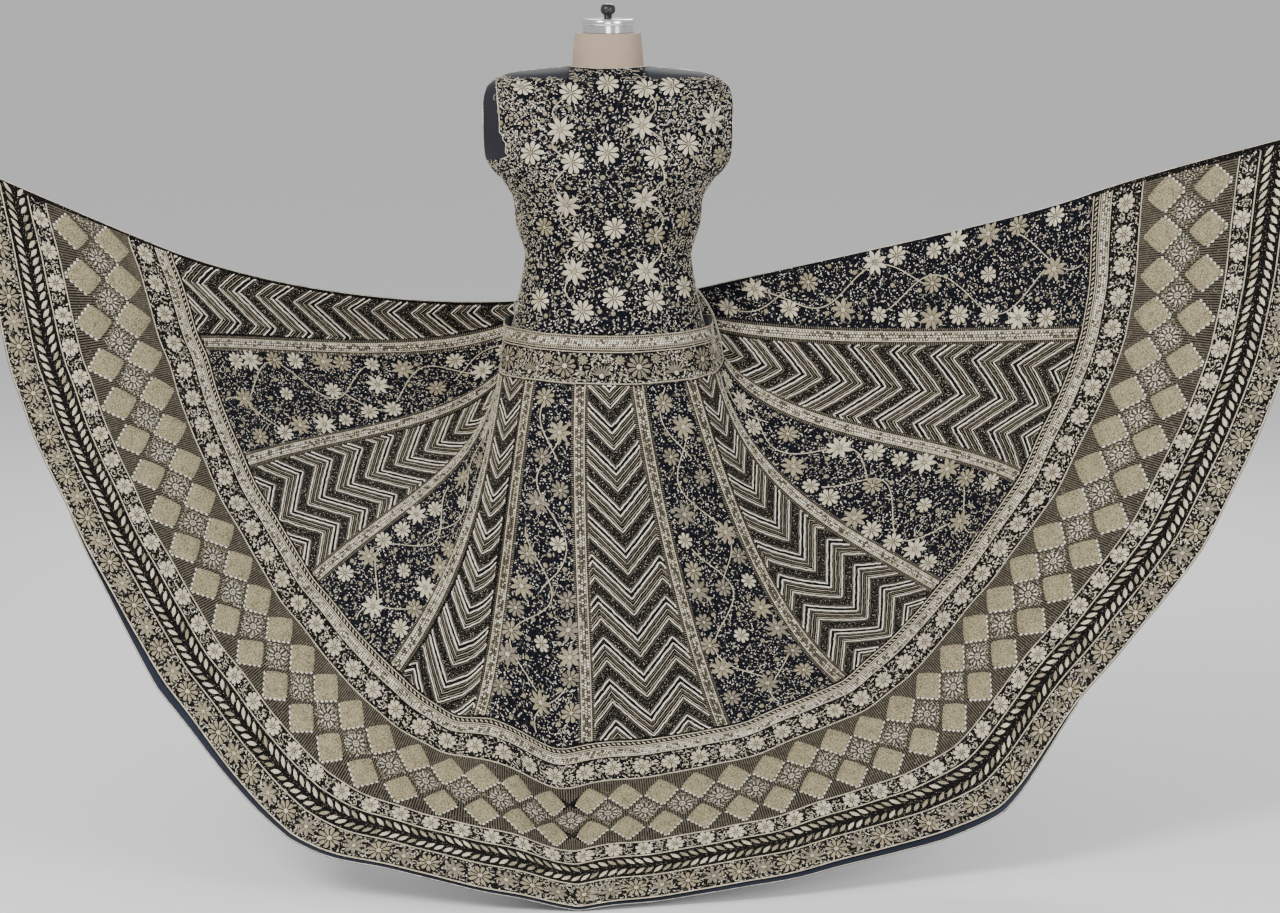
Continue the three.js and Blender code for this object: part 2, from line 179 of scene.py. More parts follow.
# %% Soft flutes, deeper towards the hem
FLUTE_DEPTH, FLUTES_FROM, FLUTES_FULL = 2.2, 160, 720
plain = Surface(GRID_S, GRID_V, cloth_points)
flute_depth = FLUTE_DEPTH * np.clip((GRID_V - FLUTES_FROM) / (FLUTES_FULL - FLUTES_FROM), 0, 1) ** 1.3
flute = (np.sin(GRID_S * 8.9 + 0.6)[:, None] * np.cos(GRID_V / 310 + 0.4)[None, :]
         + 0.5 * np.sin(GRID_S * 15.1)[:, None] * np.sin(GRID_V / 190)[None, :])
skirt = Surface(GRID_S, GRID_V, cloth_points + plain.normals * (flute * flute_depth[None, :])[..., None])
print("hem length", round(float(skirt.measures[:, -4, 0].mean() * KALIS)), "mm")

# %% [markdown]
# ## Materials, written as sums
# A material is a small network of nodes. The class below wraps a socket, so that a mask can be written
# as 1 - dots * 0.5 and each operator adds its Math node. Everything that varies goes only to the
# colour, the roughness, the metal or the bump; numbers that are the same all over are set on the
# shader itself, because that is what other programs can read.

# %% A socket that does sums
class Wire:
    """One output of a material's nodes. Plain arithmetic on it adds Math nodes."""

    def __init__(self, finish, socket):
        self.finish, self.socket = finish, socket

    def sum(self, operation, *values, clamp=False):
        return self.finish.node("ShaderNodeMath", {"operation": operation, "use_clamp": clamp},
                                dict(enumerate(values)))

    def __add__(self, other):
        return self.sum("ADD", self, other)

    def __sub__(self, other):
        return self.sum("SUBTRACT", self, other)

    def __rsub__(self, other):
        return self.sum("SUBTRACT", other, self)

    def __mul__(self, other):
        return self.sum("MULTIPLY", self, other)

    def __truediv__(self, other):
        return self.sum("DIVIDE", self, other)

    __radd__ = __add__
    __rmul__ = __mul__

    def step(self, low, high):
        """0 below low and 1 above high, with an even slope between."""
        return self.finish.node("ShaderNodeMapRange", {"clamp": True},
                                {"Value": self, "From Min": low, "From Max": high})


# %% A finish and its one way to add a node
class Finish:
    """A material with one shader. Keywords set the shader's own sockets, such as Coat_Weight=0.3."""

    def __init__(self, name, **shader):
        self.material = bpy.data.materials.new(name)
        self.material.use_nodes = True
        self.tree = self.material.node_tree
        self.shader = self.tree.nodes["Principled BSDF"]
        self.shader.inputs["Specular IOR Level"].default_value = 0.25
        for key, value in shader.items():
            self.shader.inputs[key.replace("_", " ")].default_value = value
        self.place = self.node("ShaderNodeTexCoord", output="Object")

    def node(self, kind, settings={}, values={}, output=0):
        node = self.tree.nodes.new(kind)
        for key, value in settings.items():
            setattr(node, key, value)
        for key, value in values.items():
            self.set(node.inputs[key], value)
        return Wire(self, node.outputs[output])

    def set(self, socket, value):
        if isinstance(value, Wire):
            self.tree.links.new(value.socket, socket)
        else:
            socket.default_value = value

    def mix(self, share, a, b):
        """Colour a where share is 0 and b where it is 1."""
        return self.node("ShaderNodeMix", {"data_type": "RGBA"}, {0: share, 6: a, 7: b}, output=2)

    def noise(self, scale, detail=2.0, rough=0.5):
        return self.node("ShaderNodeTexNoise", {}, {"Vector": self.place, "Scale": scale,
                                                    "Detail": detail, "Roughness": rough}, output="Fac")

    def cells(self, scale, output="Distance", feature="F1"):
        return self.node("ShaderNodeTexVoronoi", {"feature": feature},
                         {"Vector": self.place, "Scale": scale}, output=output)

    def waves(self, scale, direction, distortion, detail):
        return self.node("ShaderNodeTexWave", {"bands_direction": direction},
                         {"Vector": self.place, "Scale": scale, "Distortion": distortion,
                          "Detail": detail}, output="Fac")

    def paint(self, colour=None, roughness=None, metallic=None, height=None, depth=0.5, reach=0.001):
        """Links what varies: colour, roughness, metal, and a bump whose steps are reach metres high."""
        for name, value in (("Base Color", colour), ("Roughness", roughness), ("Metallic", metallic)):
            if value is not None:
                self.set(self.shader.inputs[name], value)
        if height is not None:
            bump = self.node("ShaderNodeBump", {}, {"Strength": depth, "Distance": reach,
                                                    "Height": height}, output="Normal")
            self.set(self.shader.inputs["Normal"], bump)
        return self.material


# %% [markdown]
# ## Cloth finishes
# The ground is black net over midnight satin, thick with sequins and seed beads too small to build one
# by one. Voronoi cells give such grains: each cell's middle is a bead, and noise thins them out.

# %% The ground cloths
def ground(name, base, bead, grain, amount):
    """Net with beads about grain mm apart, and finer seed beads between them; amount is their size."""
    f = Finish(name, Sheen_Weight=0.02, Sheen_Roughness=0.5, Specular_IOR_Level=0.05)
    bead_size = f.cells(1 / (grain * MM))
    patchy = f.noise(260, 2)
    beads = (1 - bead_size.step(amount * 0.2, amount * 0.28)) * patchy.step(0.46, 0.53)
    seed = 1 - f.cells(1 / (grain * 0.5 * MM)).step(amount * 0.22, amount * 0.36)
    net = f.noise(2600, 1)
    tint = f.mix(patchy.step(0.3, 0.7), base, tuple(c * 1.8 for c in base[:3]) + (1,))
    colour = f.mix(beads * 0.9 + seed * 0.07, tint, bead)
    return f.paint(colour, 0.88 - beads * 0.5, beads * 0.4, beads + seed * 0.4 + net * 0.15, 0.6, 0.0006)


NAVY, BLACK = (0.0026, 0.0030, 0.0052, 1), (0.0030, 0.0029, 0.0030, 1)
SILVER, SAND = (0.62, 0.60, 0.56, 1), (0.40, 0.355, 0.27, 1)
floral_ground = ground("navy net with seed beads", NAVY, SILVER, 4.6, 0.8)
zigzag_ground = ground("black net with fine stitches", BLACK, SAND, 3.6, 0.8)
border_ground = ground("black net under the border", BLACK, SAND, 3.4, 0.95)
choli_ground = ground("navy net of the choli", NAVY, SILVER, 5.0, 0.7)
print("ground cloths:", [g.name for g in (floral_ground, zigzag_ground, border_ground, choli_ground)])

# %% Satin backing and plain net
satin = Finish("navy satin backing", Sheen_Weight=0.08, Sheen_Roughness=0.4)
threads = satin.waves(420, "Z", 2.0, 1.0)
wash = satin.noise(7, 3)
satin_colour = satin.mix(wash.step(0.3, 0.7), (0.006, 0.008, 0.016, 1), (0.014, 0.018, 0.032, 1))
satin_backing = satin.paint(satin_colour, 0.42 + wash * 0.2, None, threads * 0.5 + wash, 0.25, 0.0008)
net = Finish("plain navy net", Sheen_Weight=0.06, Sheen_Roughness=0.6)
holes = net.cells(900, feature="SMOOTH_F1")
net_colour = net.mix(holes.step(0.1, 0.6), (0.013, 0.014, 0.023, 1), (0.006, 0.007, 0.012, 1))
plain_net = net.paint(net_colour, 0.75 + holes * 0.1, None, holes, 0.4, 0.0005)
print("plain cloths:", satin_backing.name, "and", plain_net.name)


# %% Threads
def thread(name, light, dark, twist, roughness=0.5, metal=0.0):
    """Twisted thread: worn and shaded places are darker, and fine strands run through it."""
    f = Finish(name, Sheen_Weight=0.05, Sheen_Roughness=0.35)
    wear = f.noise(95, 3, 0.6)
    strands = f.noise(twist, 2, 0.7)
    share = (wear.step(0.34, 0.7) * 0.6 + strands.step(0.35, 0.65) * 0.4)
    colour = f.mix(share, light + (1,), dark + (1,))
    return f.paint(colour, roughness + strands * 0.25, metal, strands, 0.45, 0.0006)


cream = thread("cream dori cord", (0.65, 0.58, 0.43), (0.25, 0.215, 0.15), 900, 0.4)
petal_white = thread("cream petal stitching", (0.74, 0.67, 0.50), (0.27, 0.232, 0.16), 700, 0.36)
bright = thread("bright beaded dori", (0.92, 0.87, 0.76), (0.34, 0.30, 0.22), 330, 0.32)
taupe = thread("taupe thread", (0.155, 0.138, 0.105), (0.050, 0.044, 0.034), 1100, 0.6)
sand_thread = thread("sand petal stitching", (0.40, 0.345, 0.230), (0.12, 0.101, 0.064), 800, 0.42)
dusty_gold = thread("dusty gold petal stitching", (0.29, 0.255, 0.185), (0.085, 0.073, 0.050), 800, 0.42)
silver = thread("silver seed stitches", (0.76, 0.71, 0.60), (0.20, 0.18, 0.145), 600, 0.25, 0.3)
couch_brown = thread("brown couching", (0.135, 0.116, 0.080), (0.046, 0.039, 0.027), 800, 0.6)

# %% Couched diamonds and sequins
pad = Finish("beige couched diamonds", Sheen_Weight=0.05, Sheen_Roughness=0.5)
grain = pad.cells(450)
blotch = pad.noise(60, 3)
pad_colour = pad.mix(grain.step(0.25, 0.66) * 0.8 + blotch.step(0.35, 0.7) * 0.2,
                     (0.43, 0.375, 0.225, 1), (0.11, 0.094, 0.052, 1))
beige_pad = pad.paint(pad_colour, 0.55 + grain * 0.2, None, 1 - grain, 0.7, 0.0009)

# each sequin cell is toned at random from dark bronze to pale gold: painted glints and shade on the sequins
glint = Finish("gold sequins")
each = glint.cells(330, output="Color")
part = glint.node("ShaderNodeSeparateColor", {}, {0: each}, output=0)
edge = glint.cells(330)
glint_colour = glint.mix(part.step(0.15, 0.85), (0.12, 0.10, 0.065, 1), (0.74, 0.66, 0.49, 1))
sequin_gold = glint.paint(glint_colour, 0.3 + part * 0.3, 0.35 + part * 0.3, edge + part * 0.5, 0.6, 0.0008)

LOOKS = [cream, petal_white, taupe, sand_thread, silver, couch_brown, beige_pad, sequin_gold, bright,
         dusty_gold]
CREAM, PETAL, TAUPE, GOLD_PETAL, SILVERY, BROWN, PAD, SEQUIN, BRIGHT, DUSTY = range(len(LOOKS))
print(len(LOOKS), "thread finishes:", [look.name for look in LOOKS])

# %% [markdown]
# ## From numbers to meshes
# Thousands of stitches as thousands of objects would bring Blender to its knees, so a piece's stitches
# are gathered in arrays and become one mesh. foreach_set copies whole arrays at once.

# %% One mesh from arrays
def mesh_piece(name, points, faces, materials, looks=None, crease=None):
    """A mesh from points in mm and faces of 3 or 4 corners."""
    mesh = bpy.data.meshes.new(name)
    corners = faces.shape[1]
    mesh.vertices.add(len(points))
    mesh.vertices.foreach_set("co", (np.asarray(points) * MM).astype(np.float32).ravel())
    mesh.loops.add(faces.size)
    mesh.loops.foreach_set("vertex_index", faces.astype(np.int32).ravel())
    mesh.polygons.add(len(faces))
    mesh.polygons.foreach_set("loop_start", np.arange(0, faces.size, corners, dtype=np.int32))
    mesh.polygons.foreach_set("use_smooth", np.ones(len(faces), bool))
    for material in materials:
        mesh.materials.append(material)
    if looks is not None:
        mesh.polygons.foreach_set("material_index", looks.astype(np.int32))
    mesh.update(calc_edges=True)
    mesh.validate()
    if crease:
        mesh.set_sharp_from_angle(angle=math.radians(crease))
    piece = bpy.data.objects.new(name, mesh)
    bpy.context.scene.collection.objects.link(piece)
    return piece


# %% A thin closed shell of cloth
def shell(name, surface, u, v, faces_at, face, lining):
    """u and v are grids, rows down the cloth. faces_at says how high the outer and inner face lie.
    The outer face and the edges have one finish, the back another."""
    rows, cols = u.shape
    points = np.concatenate([surface.at(u, v, height).reshape(-1, 3) for height in faces_at])
    n = rows * cols
    number = np.arange(n).reshape(rows, cols)
    a, b, c, d = number[:-1, :-1], number[1:, :-1], number[1:, 1:], number[:-1, 1:]
    outer = np.stack([a, b, c, d], -1).reshape(-1, 4)
    rim = np.concatenate([number[0, :], number[1:, -1], number[-1, -2::-1], number[-2:0:-1, 0]])
    after = np.roll(rim, -1)
    edges = np.stack([rim, after, after + n, rim + n], -1)
    faces = np.concatenate([outer, outer[:, ::-1] + n, edges])
    looks = np.concatenate([np.zeros(len(outer)), np.ones(len(outer)), np.zeros(len(edges))])
    piece = mesh_piece(name, points, faces, [face, lining], looks, crease=50)
    grid = points[:n].reshape(rows, cols, 3)
    cell = np.linalg.norm(np.cross(grid[1:, 1:] - grid[:-1, :-1], grid[1:, :-1] - grid[:-1, 1:]), axis=2)
    width = np.linalg.norm(np.diff(grid, axis=1), axis=2).sum(1).max() * MM
    length = np.linalg.norm(np.diff(grid, axis=0), axis=2).sum(0).max() * MM
    return piece, width, length, float(cell.sum() / 2) * MM * MM


def between(surface_rows, low, high):
    """Row or column places from low to high, with the surface's own lines between."""
    margin = 2e-3 * (high - low)
    inner = surface_rows[(surface_rows > low + margin) & (surface_rows < high - margin)]
    return np.concatenate([[low], inner, [high]])


print("a kali is", len(between(GRID_S, 0, 1)), "points by", len(between(GRID_V, BELT_WIDTH, KALI_END)))


# %% [markdown]
# ## The embroiderer's kit
# Motifs are drawn flat in mm: x across, y towards the hem, and h the height of the stitch pad. Stamping
# one turns and scales it, moves it to its place on the cloth, and lifts it along the cloth's normal.

# %% Small motifs
def ridge(length, half, stations, heights, start=0.0):
    """A pad along y with a raised middle, such as a petal: half widths at its stations."""
    n = len(stations)
    y = start + length * np.linspace(0, 1, n)
    w = half * np.array(stations)
    h = np.array(heights)
    points = np.concatenate([np.stack([-w, y, 0 * y], 1), np.stack([0 * y, y, h], 1),
                             np.stack([w, y, 0 * y], 1)])
    faces = []
    for side in (0, n):
        for i in range(n - 1):
            a, b, c, d = side + i, side + i + 1, side + n + i + 1, side + n + i
            faces += [(a, b, c), (a, c, d)]
    return points, np.array(faces)


def dome(radius, height, sides=8, rim=0.0):
    """A low cone: a bead, a sequin or a flower's eye."""
    turn = 2 * np.pi * np.arange(sides) / sides
    points = np.concatenate([np.stack([radius * np.sin(turn), radius * np.cos(turn), rim + 0 * turn], 1),
                             [[0, 0, height]]])
    i = np.arange(sides)
    return points, np.stack([i, (i + 1) % sides, np.full(sides, sides)], 1)


def ring(radius, width, height, sides=10):
    """A raised ring of cord."""
    turn = 2 * np.pi * np.arange(sides) / sides
    circles = [np.stack([r * np.sin(turn), r * np.cos(turn), h + 0 * turn], 1)
               for r, h in ((radius + width / 2, 0), (radius, height), (radius - width / 2, 0))]
    i, j = np.arange(sides), (np.arange(sides) + 1) % sides
    faces = [np.stack(f, 1) for k in (0, sides)
             for f in ((i + k, j + k + sides, i + k + sides), (i + k, j + k, j + k + sides))]
    return np.concatenate(circles), np.concatenate(faces)


def gather(*parts):
    """Joins (motif, look) pairs into one motif with a look for every face."""
    points, faces, looks, count = [], [], [], 0
    for (p, f), look in parts:
        points.append(p)
        faces.append(f + count)
        looks.append(np.full(len(f), look))
        count += len(p)
    return np.concatenate(points), np.concatenate(faces), np.concatenate(looks)


def turned(motif, angle):
    p, f = motif
    c, s = math.cos(angle), math.sin(angle)
    return np.stack([p[:, 0] * c - p[:, 1] * s, p[:, 0] * s + p[:, 1] * c, p[:, 2]], 1), f


def spun(motif, count, look):
    """The motif count times round the middle, ready for gather."""
    return [(turned(motif, 2 * math.pi * k / count), look) for k in range(count)]


print("a sequin has", len(dome(2.3, 0.8, 6)[1]), "triangles, a petal", len(ridge(14, 3, [1] * 5, [1] * 5)[1]))

# %% Flowers and leaves
def flower(petals, radius, look, eye=GOLD_PETAL, core=0.2, fill=0.7, tip=0.66, pad=1.9):
    """Drop-shaped petals, widest near their round tips, round a domed eye."""
    half = math.pi * radius * 0.8 / petals * fill
    one = ridge(radius * (1 - core), half, (0.16, 0.5, 0.9, 1.0, tip), (0.3, 1.3, pad, pad * 0.9, 0.2),
                radius * core)
    return gather(*spun(one, petals, look), (dome(radius * core * 0.9, 1.8, 8, 0.3), eye))


def star(points, radius, look, eye=GOLD_PETAL):
    """Pointed petals, widest near the eye."""
    half = math.pi * radius * 0.46 / points
    one = ridge(radius * 0.8, half, (0.3, 1.0, 0.85, 0.08), (0.5, 1.7, 1.3, 0.2), radius * 0.2)
    return gather(*spun(one, points, look), (dome(radius * 0.19, 2.0, 8, 0.6), eye))


def rosette(radius, look, rays=11):
    """Thin rays round a ring and a bead."""
    one = ridge(radius * 0.55, radius * 0.10, (0.3, 1, 0.9, 0.2), (0.2, 0.9, 0.9, 0.2), radius * 0.45)
    return gather(*spun(one, rays, look), (ring(radius * 0.26, radius * 0.13, 1.1), CREAM),
                  (dome(radius * 0.12, 1.2, 6), SILVERY))


print("a daisy has", len(flower(9, 17.5, PETAL)[1]), "triangles, a star", len(star(8, 24.0, PETAL)[1]))

# %% Leaves, beads and hooks

def leaf(length, half, look, pad=1.0):
    """Four facets that meet over the middle."""
    points = np.array([[0, -length / 2, 0], [half, 0, 0], [0, length / 2, 0], [-half, 0, 0], [0, 0, pad]])
    return gather(((points, np.array([(1, 0, 4), (2, 1, 4), (3, 2, 4), (0, 3, 4)])), look))


def plump_leaf(length, half, look):
    """A fuller leaf with blunt ends."""
    return gather((ridge(length, half, (0.12, 0.9, 0.85, 0.08), (0.3, 1.6, 1.5, 0.2), -length / 2), look))


def bead(radius, look, height=0.9, sides=4):
    return gather((dome(radius, height, sides), look))


def curl(radius, sweep, width, look, steps=6):
    """A hook of cord that tightens towards its end."""
    t = np.linspace(0, 1, steps + 1)
    r, turn = radius * (1 - 0.62 * t), sweep * t
    x, y = r * np.cos(turn), r * np.sin(turn)
    w = width * (1 - 0.4 * t) / 2
    points = np.concatenate([np.stack([x * side, y * side, h + 0 * t], 1)
                             for side, h in ((1 - w / r, 0), (1, 0.8), (1 + w / r, 0))])
    n = steps + 1
    faces = np.array([f for a in (*range(steps), *range(n, n + steps))
                      for f in ((a, a + n + 1, a + n), (a, a + 1, a + n + 1))])
    return gather(((points, faces if sweep > 0 else faces[:, ::-1]), look))


print("a hook has", len(curl(8.0, 4.0, 0.9, CREAM)[1]), "triangles")

# %% The needlework of one piece
CORD_LIFT, STITCH_LIFT, FLOWER_LIFT = 0.3, 0.35, 0.5     # how high each starts above a kali's face
TALLY = {}                                               # triangles of each stitched piece


class Needlework:
    """Gathers a piece's stitches as arrays, and sews them into one mesh."""

    def __init__(self, surface):
        self.surface, self.points, self.faces, self.looks, self.count = surface, [], [], [], 0

    def add(self, points, faces, looks):
        self.points.append(points)
        self.faces.append(faces + self.count)
        self.looks.append(looks)
        self.count += len(points)

    def stamp(self, motif, u, v, turn=0.0, size=1.0, lift=STITCH_LIFT):
        """Many copies of a motif at once, one for each place."""
        u, v, turn, size, lift = (np.asarray(a, float).ravel()
                                  for a in np.broadcast_arrays(u, v, turn, size, lift))
        if not len(u):
            return
        p, f, look = motif
        wide, tall = self.surface.scale(u, v)
        x, y, h = (size[:, None] * p[None, :, i] for i in range(3))
        c, s = np.cos(turn)[:, None], np.sin(turn)[:, None]
        placed = self.surface.at(u[:, None] + (x * c - y * s) / wide[:, None],
                                 v[:, None] + (x * s + y * c) / tall[:, None], lift[:, None] + h)
        faces = f[None] + (np.arange(len(u)) * len(p))[:, None, None]
        self.add(placed.reshape(-1, 3), faces.reshape(-1, 3), np.tile(look, len(u)))

    def cords(self, u, v, width, height, look, keep=None, lift=CORD_LIFT, flat=False):
        """Many cords at once: row i of u and v is the line of cord i. keep drops single stretches."""
        u, v = np.atleast_2d(u), np.atleast_2d(v)
        middle = self.surface.at(u, v, lift)
        normal = unit(self.surface.blend(self.surface.normals, u, v))
        side = unit(np.cross(normal, np.gradient(middle, axis=1))) * (np.asarray(width) / 2)
        if flat:
            lines = [middle + side + normal * height, middle - side + normal * height]
        else:
            lines = [middle + side, middle + normal * height, middle - side]
        k, n = u.shape
        number = np.arange(k * n).reshape(k, n)
        a, b = number[:, :-1], number[:, 1:]
        if keep is not None:
            a, b = a[keep], b[keep]
        a, b = a.ravel(), b.ravel()
        faces = [q for i in range(len(lines) - 1) for q in (
            np.stack([a + i * k * n, a + (i + 1) * k * n, b + (i + 1) * k * n], 1),
            np.stack([a + i * k * n, b + (i + 1) * k * n, b + i * k * n], 1))]
        faces = np.concatenate(faces)
        self.add(np.concatenate([p.reshape(-1, 3) for p in lines]), faces, np.full(len(faces), look))

    def sew(self, name, slot):
        """Makes the one mesh and hands it over to the frame."""
        points, faces, looks = (np.concatenate(a) for a in (self.points, self.faces, self.looks))
        used = np.unique(looks)
        piece = mesh_piece(name, points, faces, [LOOKS[i] for i in used], np.searchsorted(used, looks))
        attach(piece, "root")
        TALLY[name] = len(faces)
        return piece


def dice(seed):
    """Each piece has seeded dice of its own, so changing one piece leaves the others as they are."""
    return np.random.default_rng(seed)


# %% Even and scattered places
def even(surface, v, pitch, low, high, offset=0.0):
    """Places an even distance apart along the cloth at height v, from low to high."""
    u = np.linspace(low, high, 60 * max(1, round(high - low)) + 1)
    wide, _ = surface.scale(u, np.full_like(u, v))
    run = np.concatenate([[0], np.cumsum((wide[1:] + wide[:-1]) / 2 * np.diff(u))])
    return np.interp(np.arange(offset % pitch, run[-1], pitch), run, u)


def scatter(surface, rng, low, high, v0, v1, pitch, jitter=0.42):
    """Loose but even places: a jittered grid, so no two stitches crowd each other."""
    us, vs = [], []
    for v in np.arange(v0 + pitch / 2, v1, pitch):
        wide = float(surface.scale((low + high) / 2, v)[0])
        reach = wide * (high - low)
        n = max(int(reach / pitch), 1)
        x = (np.arange(n) + 0.5) * reach / n + rng.uniform(-jitter, jitter, n) * pitch
        us.append(low + np.clip(x, 0, reach) / wide)
        vs.append(v + rng.uniform(-jitter, jitter, n) * pitch)
    return np.concatenate(us), np.clip(np.concatenate(vs), v0, v1)


def clear(surface, u, v, spots):
    """True where a place stays clear of every (u, v, radius) spot."""
    good = np.ones(len(u), bool)
    wide, tall = surface.scale(u, v)
    for su, sv, radius in spots:
        good &= np.hypot((u - su) * wide, (v - sv) * tall) > radius
    return good


print(len(even(skirt, HEM, 100, 0, KALIS)), "places 100 mm apart along the hem")

# %% [markdown]
# ## The skirt's panels and border
# Each kali and each border panel is its own shell, as it is cut and sewn. Their outer faces share the
# skirt's surface, so a seam has no step. Shells come first, and stitches are laid on them after.

# %% Cut the skirt's shells
CLOTHS = {}


def cut(name, nodes, surface, u, v, faces_at, face, lining, held, rests_on):
    """Makes a cloth that stands for its CAD nodes, and remembers its flat size for the end."""
    piece, width, length, area = shell(name, surface, u, v, faces_at, face, lining)
    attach(piece, "root")
    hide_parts(*nodes)
    CLOTHS[name] = dict(piece=piece, flat=(width, length), area=area, held=held, rests_on=rests_on, work=[])
    return piece


def numbered(word, k):
    return f"{word}_{k:02d}"


SEAM, GAP = 0.0001, 0.02              # the joins between panels in s, and between kali and border in mm
TUCK = 0.5                            # where the belt ends and a kali starts
for k in range(KALIS):
    columns = between(GRID_S, k + SEAM, k + 1 - SEAM)
    floral = k % 2 == 1
    u, v = np.meshgrid(columns, between(GRID_V, BELT_WIDTH + TUCK, KALI_END - GAP))
    cut(numbered("kali_cloth", k + 1), [numbered("kali", k + 1)], skirt, u, v, KALI_FACES,
        floral_ground if floral else zigzag_ground, satin_backing,
        "hung", ["belt_band"])
    u, v = np.meshgrid(columns, between(GRID_V, KALI_END + GAP, HEM))
    cut(numbered("border_cloth", k + 1), [numbered("border", k + 1)], skirt, u, v, KALI_FACES,
        border_ground, satin_backing, "hung", [numbered("kali", k + 1)])
for name in ("kali_cloth_01", "kali_cloth_07", "border_cloth_07"):
    cloth = CLOTHS[name]
    print(name, "flat", [round(c, 3) for c in cloth["flat"]], "m, area", round(cloth["area"], 4), "m2")

# %% The belt and the seam tapes
u, v = np.meshgrid(between(GRID_S, 0, KALIS), between(GRID_V, BELT_TAPE + 0.3, BELT_WIDTH - TUCK))
cut("belt_cloth", ["belt_band"], skirt, u, v, BELT_FACES, border_ground, satin_backing,
    "stretched", ["choli_front"])
u, v = np.meshgrid(between(GRID_S, 0, KALIS), between(GRID_V, 0, BELT_TAPE))
cut("belt_tape_cloth", ["belt_top_tape"], skirt, u, v, BELT_FACES, border_ground, satin_backing,
    "stretched", ["belt_band"])
for k in range(1, KALIS):
    rows = between(GRID_V, BELT_WIDTH + TUCK, KALI_END - 0.15)
    wide = skirt.scale(np.full_like(rows, k), rows)[0]
    u = k + np.linspace(-TAPE_HALF, TAPE_HALF, 5)[None, :] / wide[:, None]
    cut(numbered("tape_cloth", k), [numbered("seam_tape", k)], skirt, u, np.repeat(rows[:, None], 5, 1),
        TAPE_FACES, border_ground, satin_backing, "laid",
        [numbered("kali", k), numbered("kali", k + 1)])
print("belt", [round(c, 3) for c in CLOTHS["belt_cloth"]["flat"]], "m flat")

# %% The strip of lining that shows below the hem
LINING_SHOWS = {2: 1, 3: 16, 4: 8, 5: 6, 6: 6, 7: 10, 8: 14, 9: 2}   # mm below the hem at seams 2 to 9
LINING_ABOVE = 95                     # how far it is built above the hem
LINED = range(2, 9)                   # the border panels that it shows under


def lining_at(k, u):
    """How far the lining shows at the places u of panel k."""
    return LINING_SHOWS[k] + (LINING_SHOWS[k + 1] - LINING_SHOWS[k]) * (u - k)


for k in LINED:
    columns = between(GRID_S, k + SEAM, k + 1 - SEAM)
    rows = np.concatenate([np.linspace(HEM - LINING_ABOVE, HEM, 13), [0]])
    u, v = np.meshgrid(columns, rows)
    v[-1] = HEM + lining_at(k, columns)
    cut(numbered("lining_cloth", k + 1), [numbered("lining", k + 1)], skirt, u, v, LINING_FACES,
        satin_backing, satin_backing, "hung", [numbered("border", k + 1)])
print(len(CLOTHS), "cloth pieces cut")

# %% [markdown]
# ## Zigzag kalis
# Every other kali is worked in zigzag rows: a pair of bold beaded cords, taupe ribbons and fine cream
# lines by turns, one more bold cord, then a band of seed beads. A triangle wave across the panel gives
# the valleys; the lines are cut off a little inside the seam tapes. Lines drawn in a material would
# stretch with the cloth, while cords keep their width wherever the panel widens.

# %% Zigzag rows
ZIG_HALF, ZIG_SLOPE, REPEAT = 62, 1.08, 74     # half a valley's width, its slope, and the rows' pitch
ZIG_LINES = [  # how far down the repeat, width, height, thread, flat ribbon or ridge
    (0.0, 2.7, 1.4, BRIGHT, False), (11.5, 3.0, 1.4, BRIGHT, False), (17.4, 1.4, 0.3, TAUPE, True),
    (23.2, 1.1, 0.6, CREAM, False), (29.0, 1.4, 0.3, TAUPE, True), (34.8, 1.1, 0.6, CREAM, False),
    (40.6, 2.3, 1.2, BRIGHT, False), (46.2, 1.4, 0.3, TAUPE, True), (69.0, 1.4, 0.3, TAUPE, True),
]
SPECKLE = (49, 66.5)                  # the band of seed beads in the repeat
ZIG_STEPS, ZIG_REACH = 16, 3          # points in half a valley, and half valleys to each side
ZIG_MIDDLE = {0: 0.31}                # the first panel's valley runs nearer its free edge
EDGE_CLEAR = TAPE_HALF + 5            # stitches stop here, counted from the middle of a seam tape
FREE_CLEAR = {0: 8, KALIS - 1: 9}     # and here at the skirt's two free edges


def zig(x):
    """A triangle wave: 0 in the middle of a valley and ZIG_HALF at its sides."""
    t = np.abs(x) % (2 * ZIG_HALF)
    return np.minimum(t, 2 * ZIG_HALF - t)


def free_edges(k, v):
    """The worked width of panel k in s: clear of the tapes, and of the plain margin at a free edge."""
    wide = skirt.scale(np.full_like(v, k + 0.5), v)[0]
    low = (FREE_CLEAR[k] if k == 0 else EDGE_CLEAR) / wide
    high = (FREE_CLEAR[k] if k == KALIS - 1 else EDGE_CLEAR) / wide
    return k + low, k + 1 - high


print("panel 7 is worked from", [round(float(e), 3) for e in free_edges(6, np.array(400.0))], "in s")


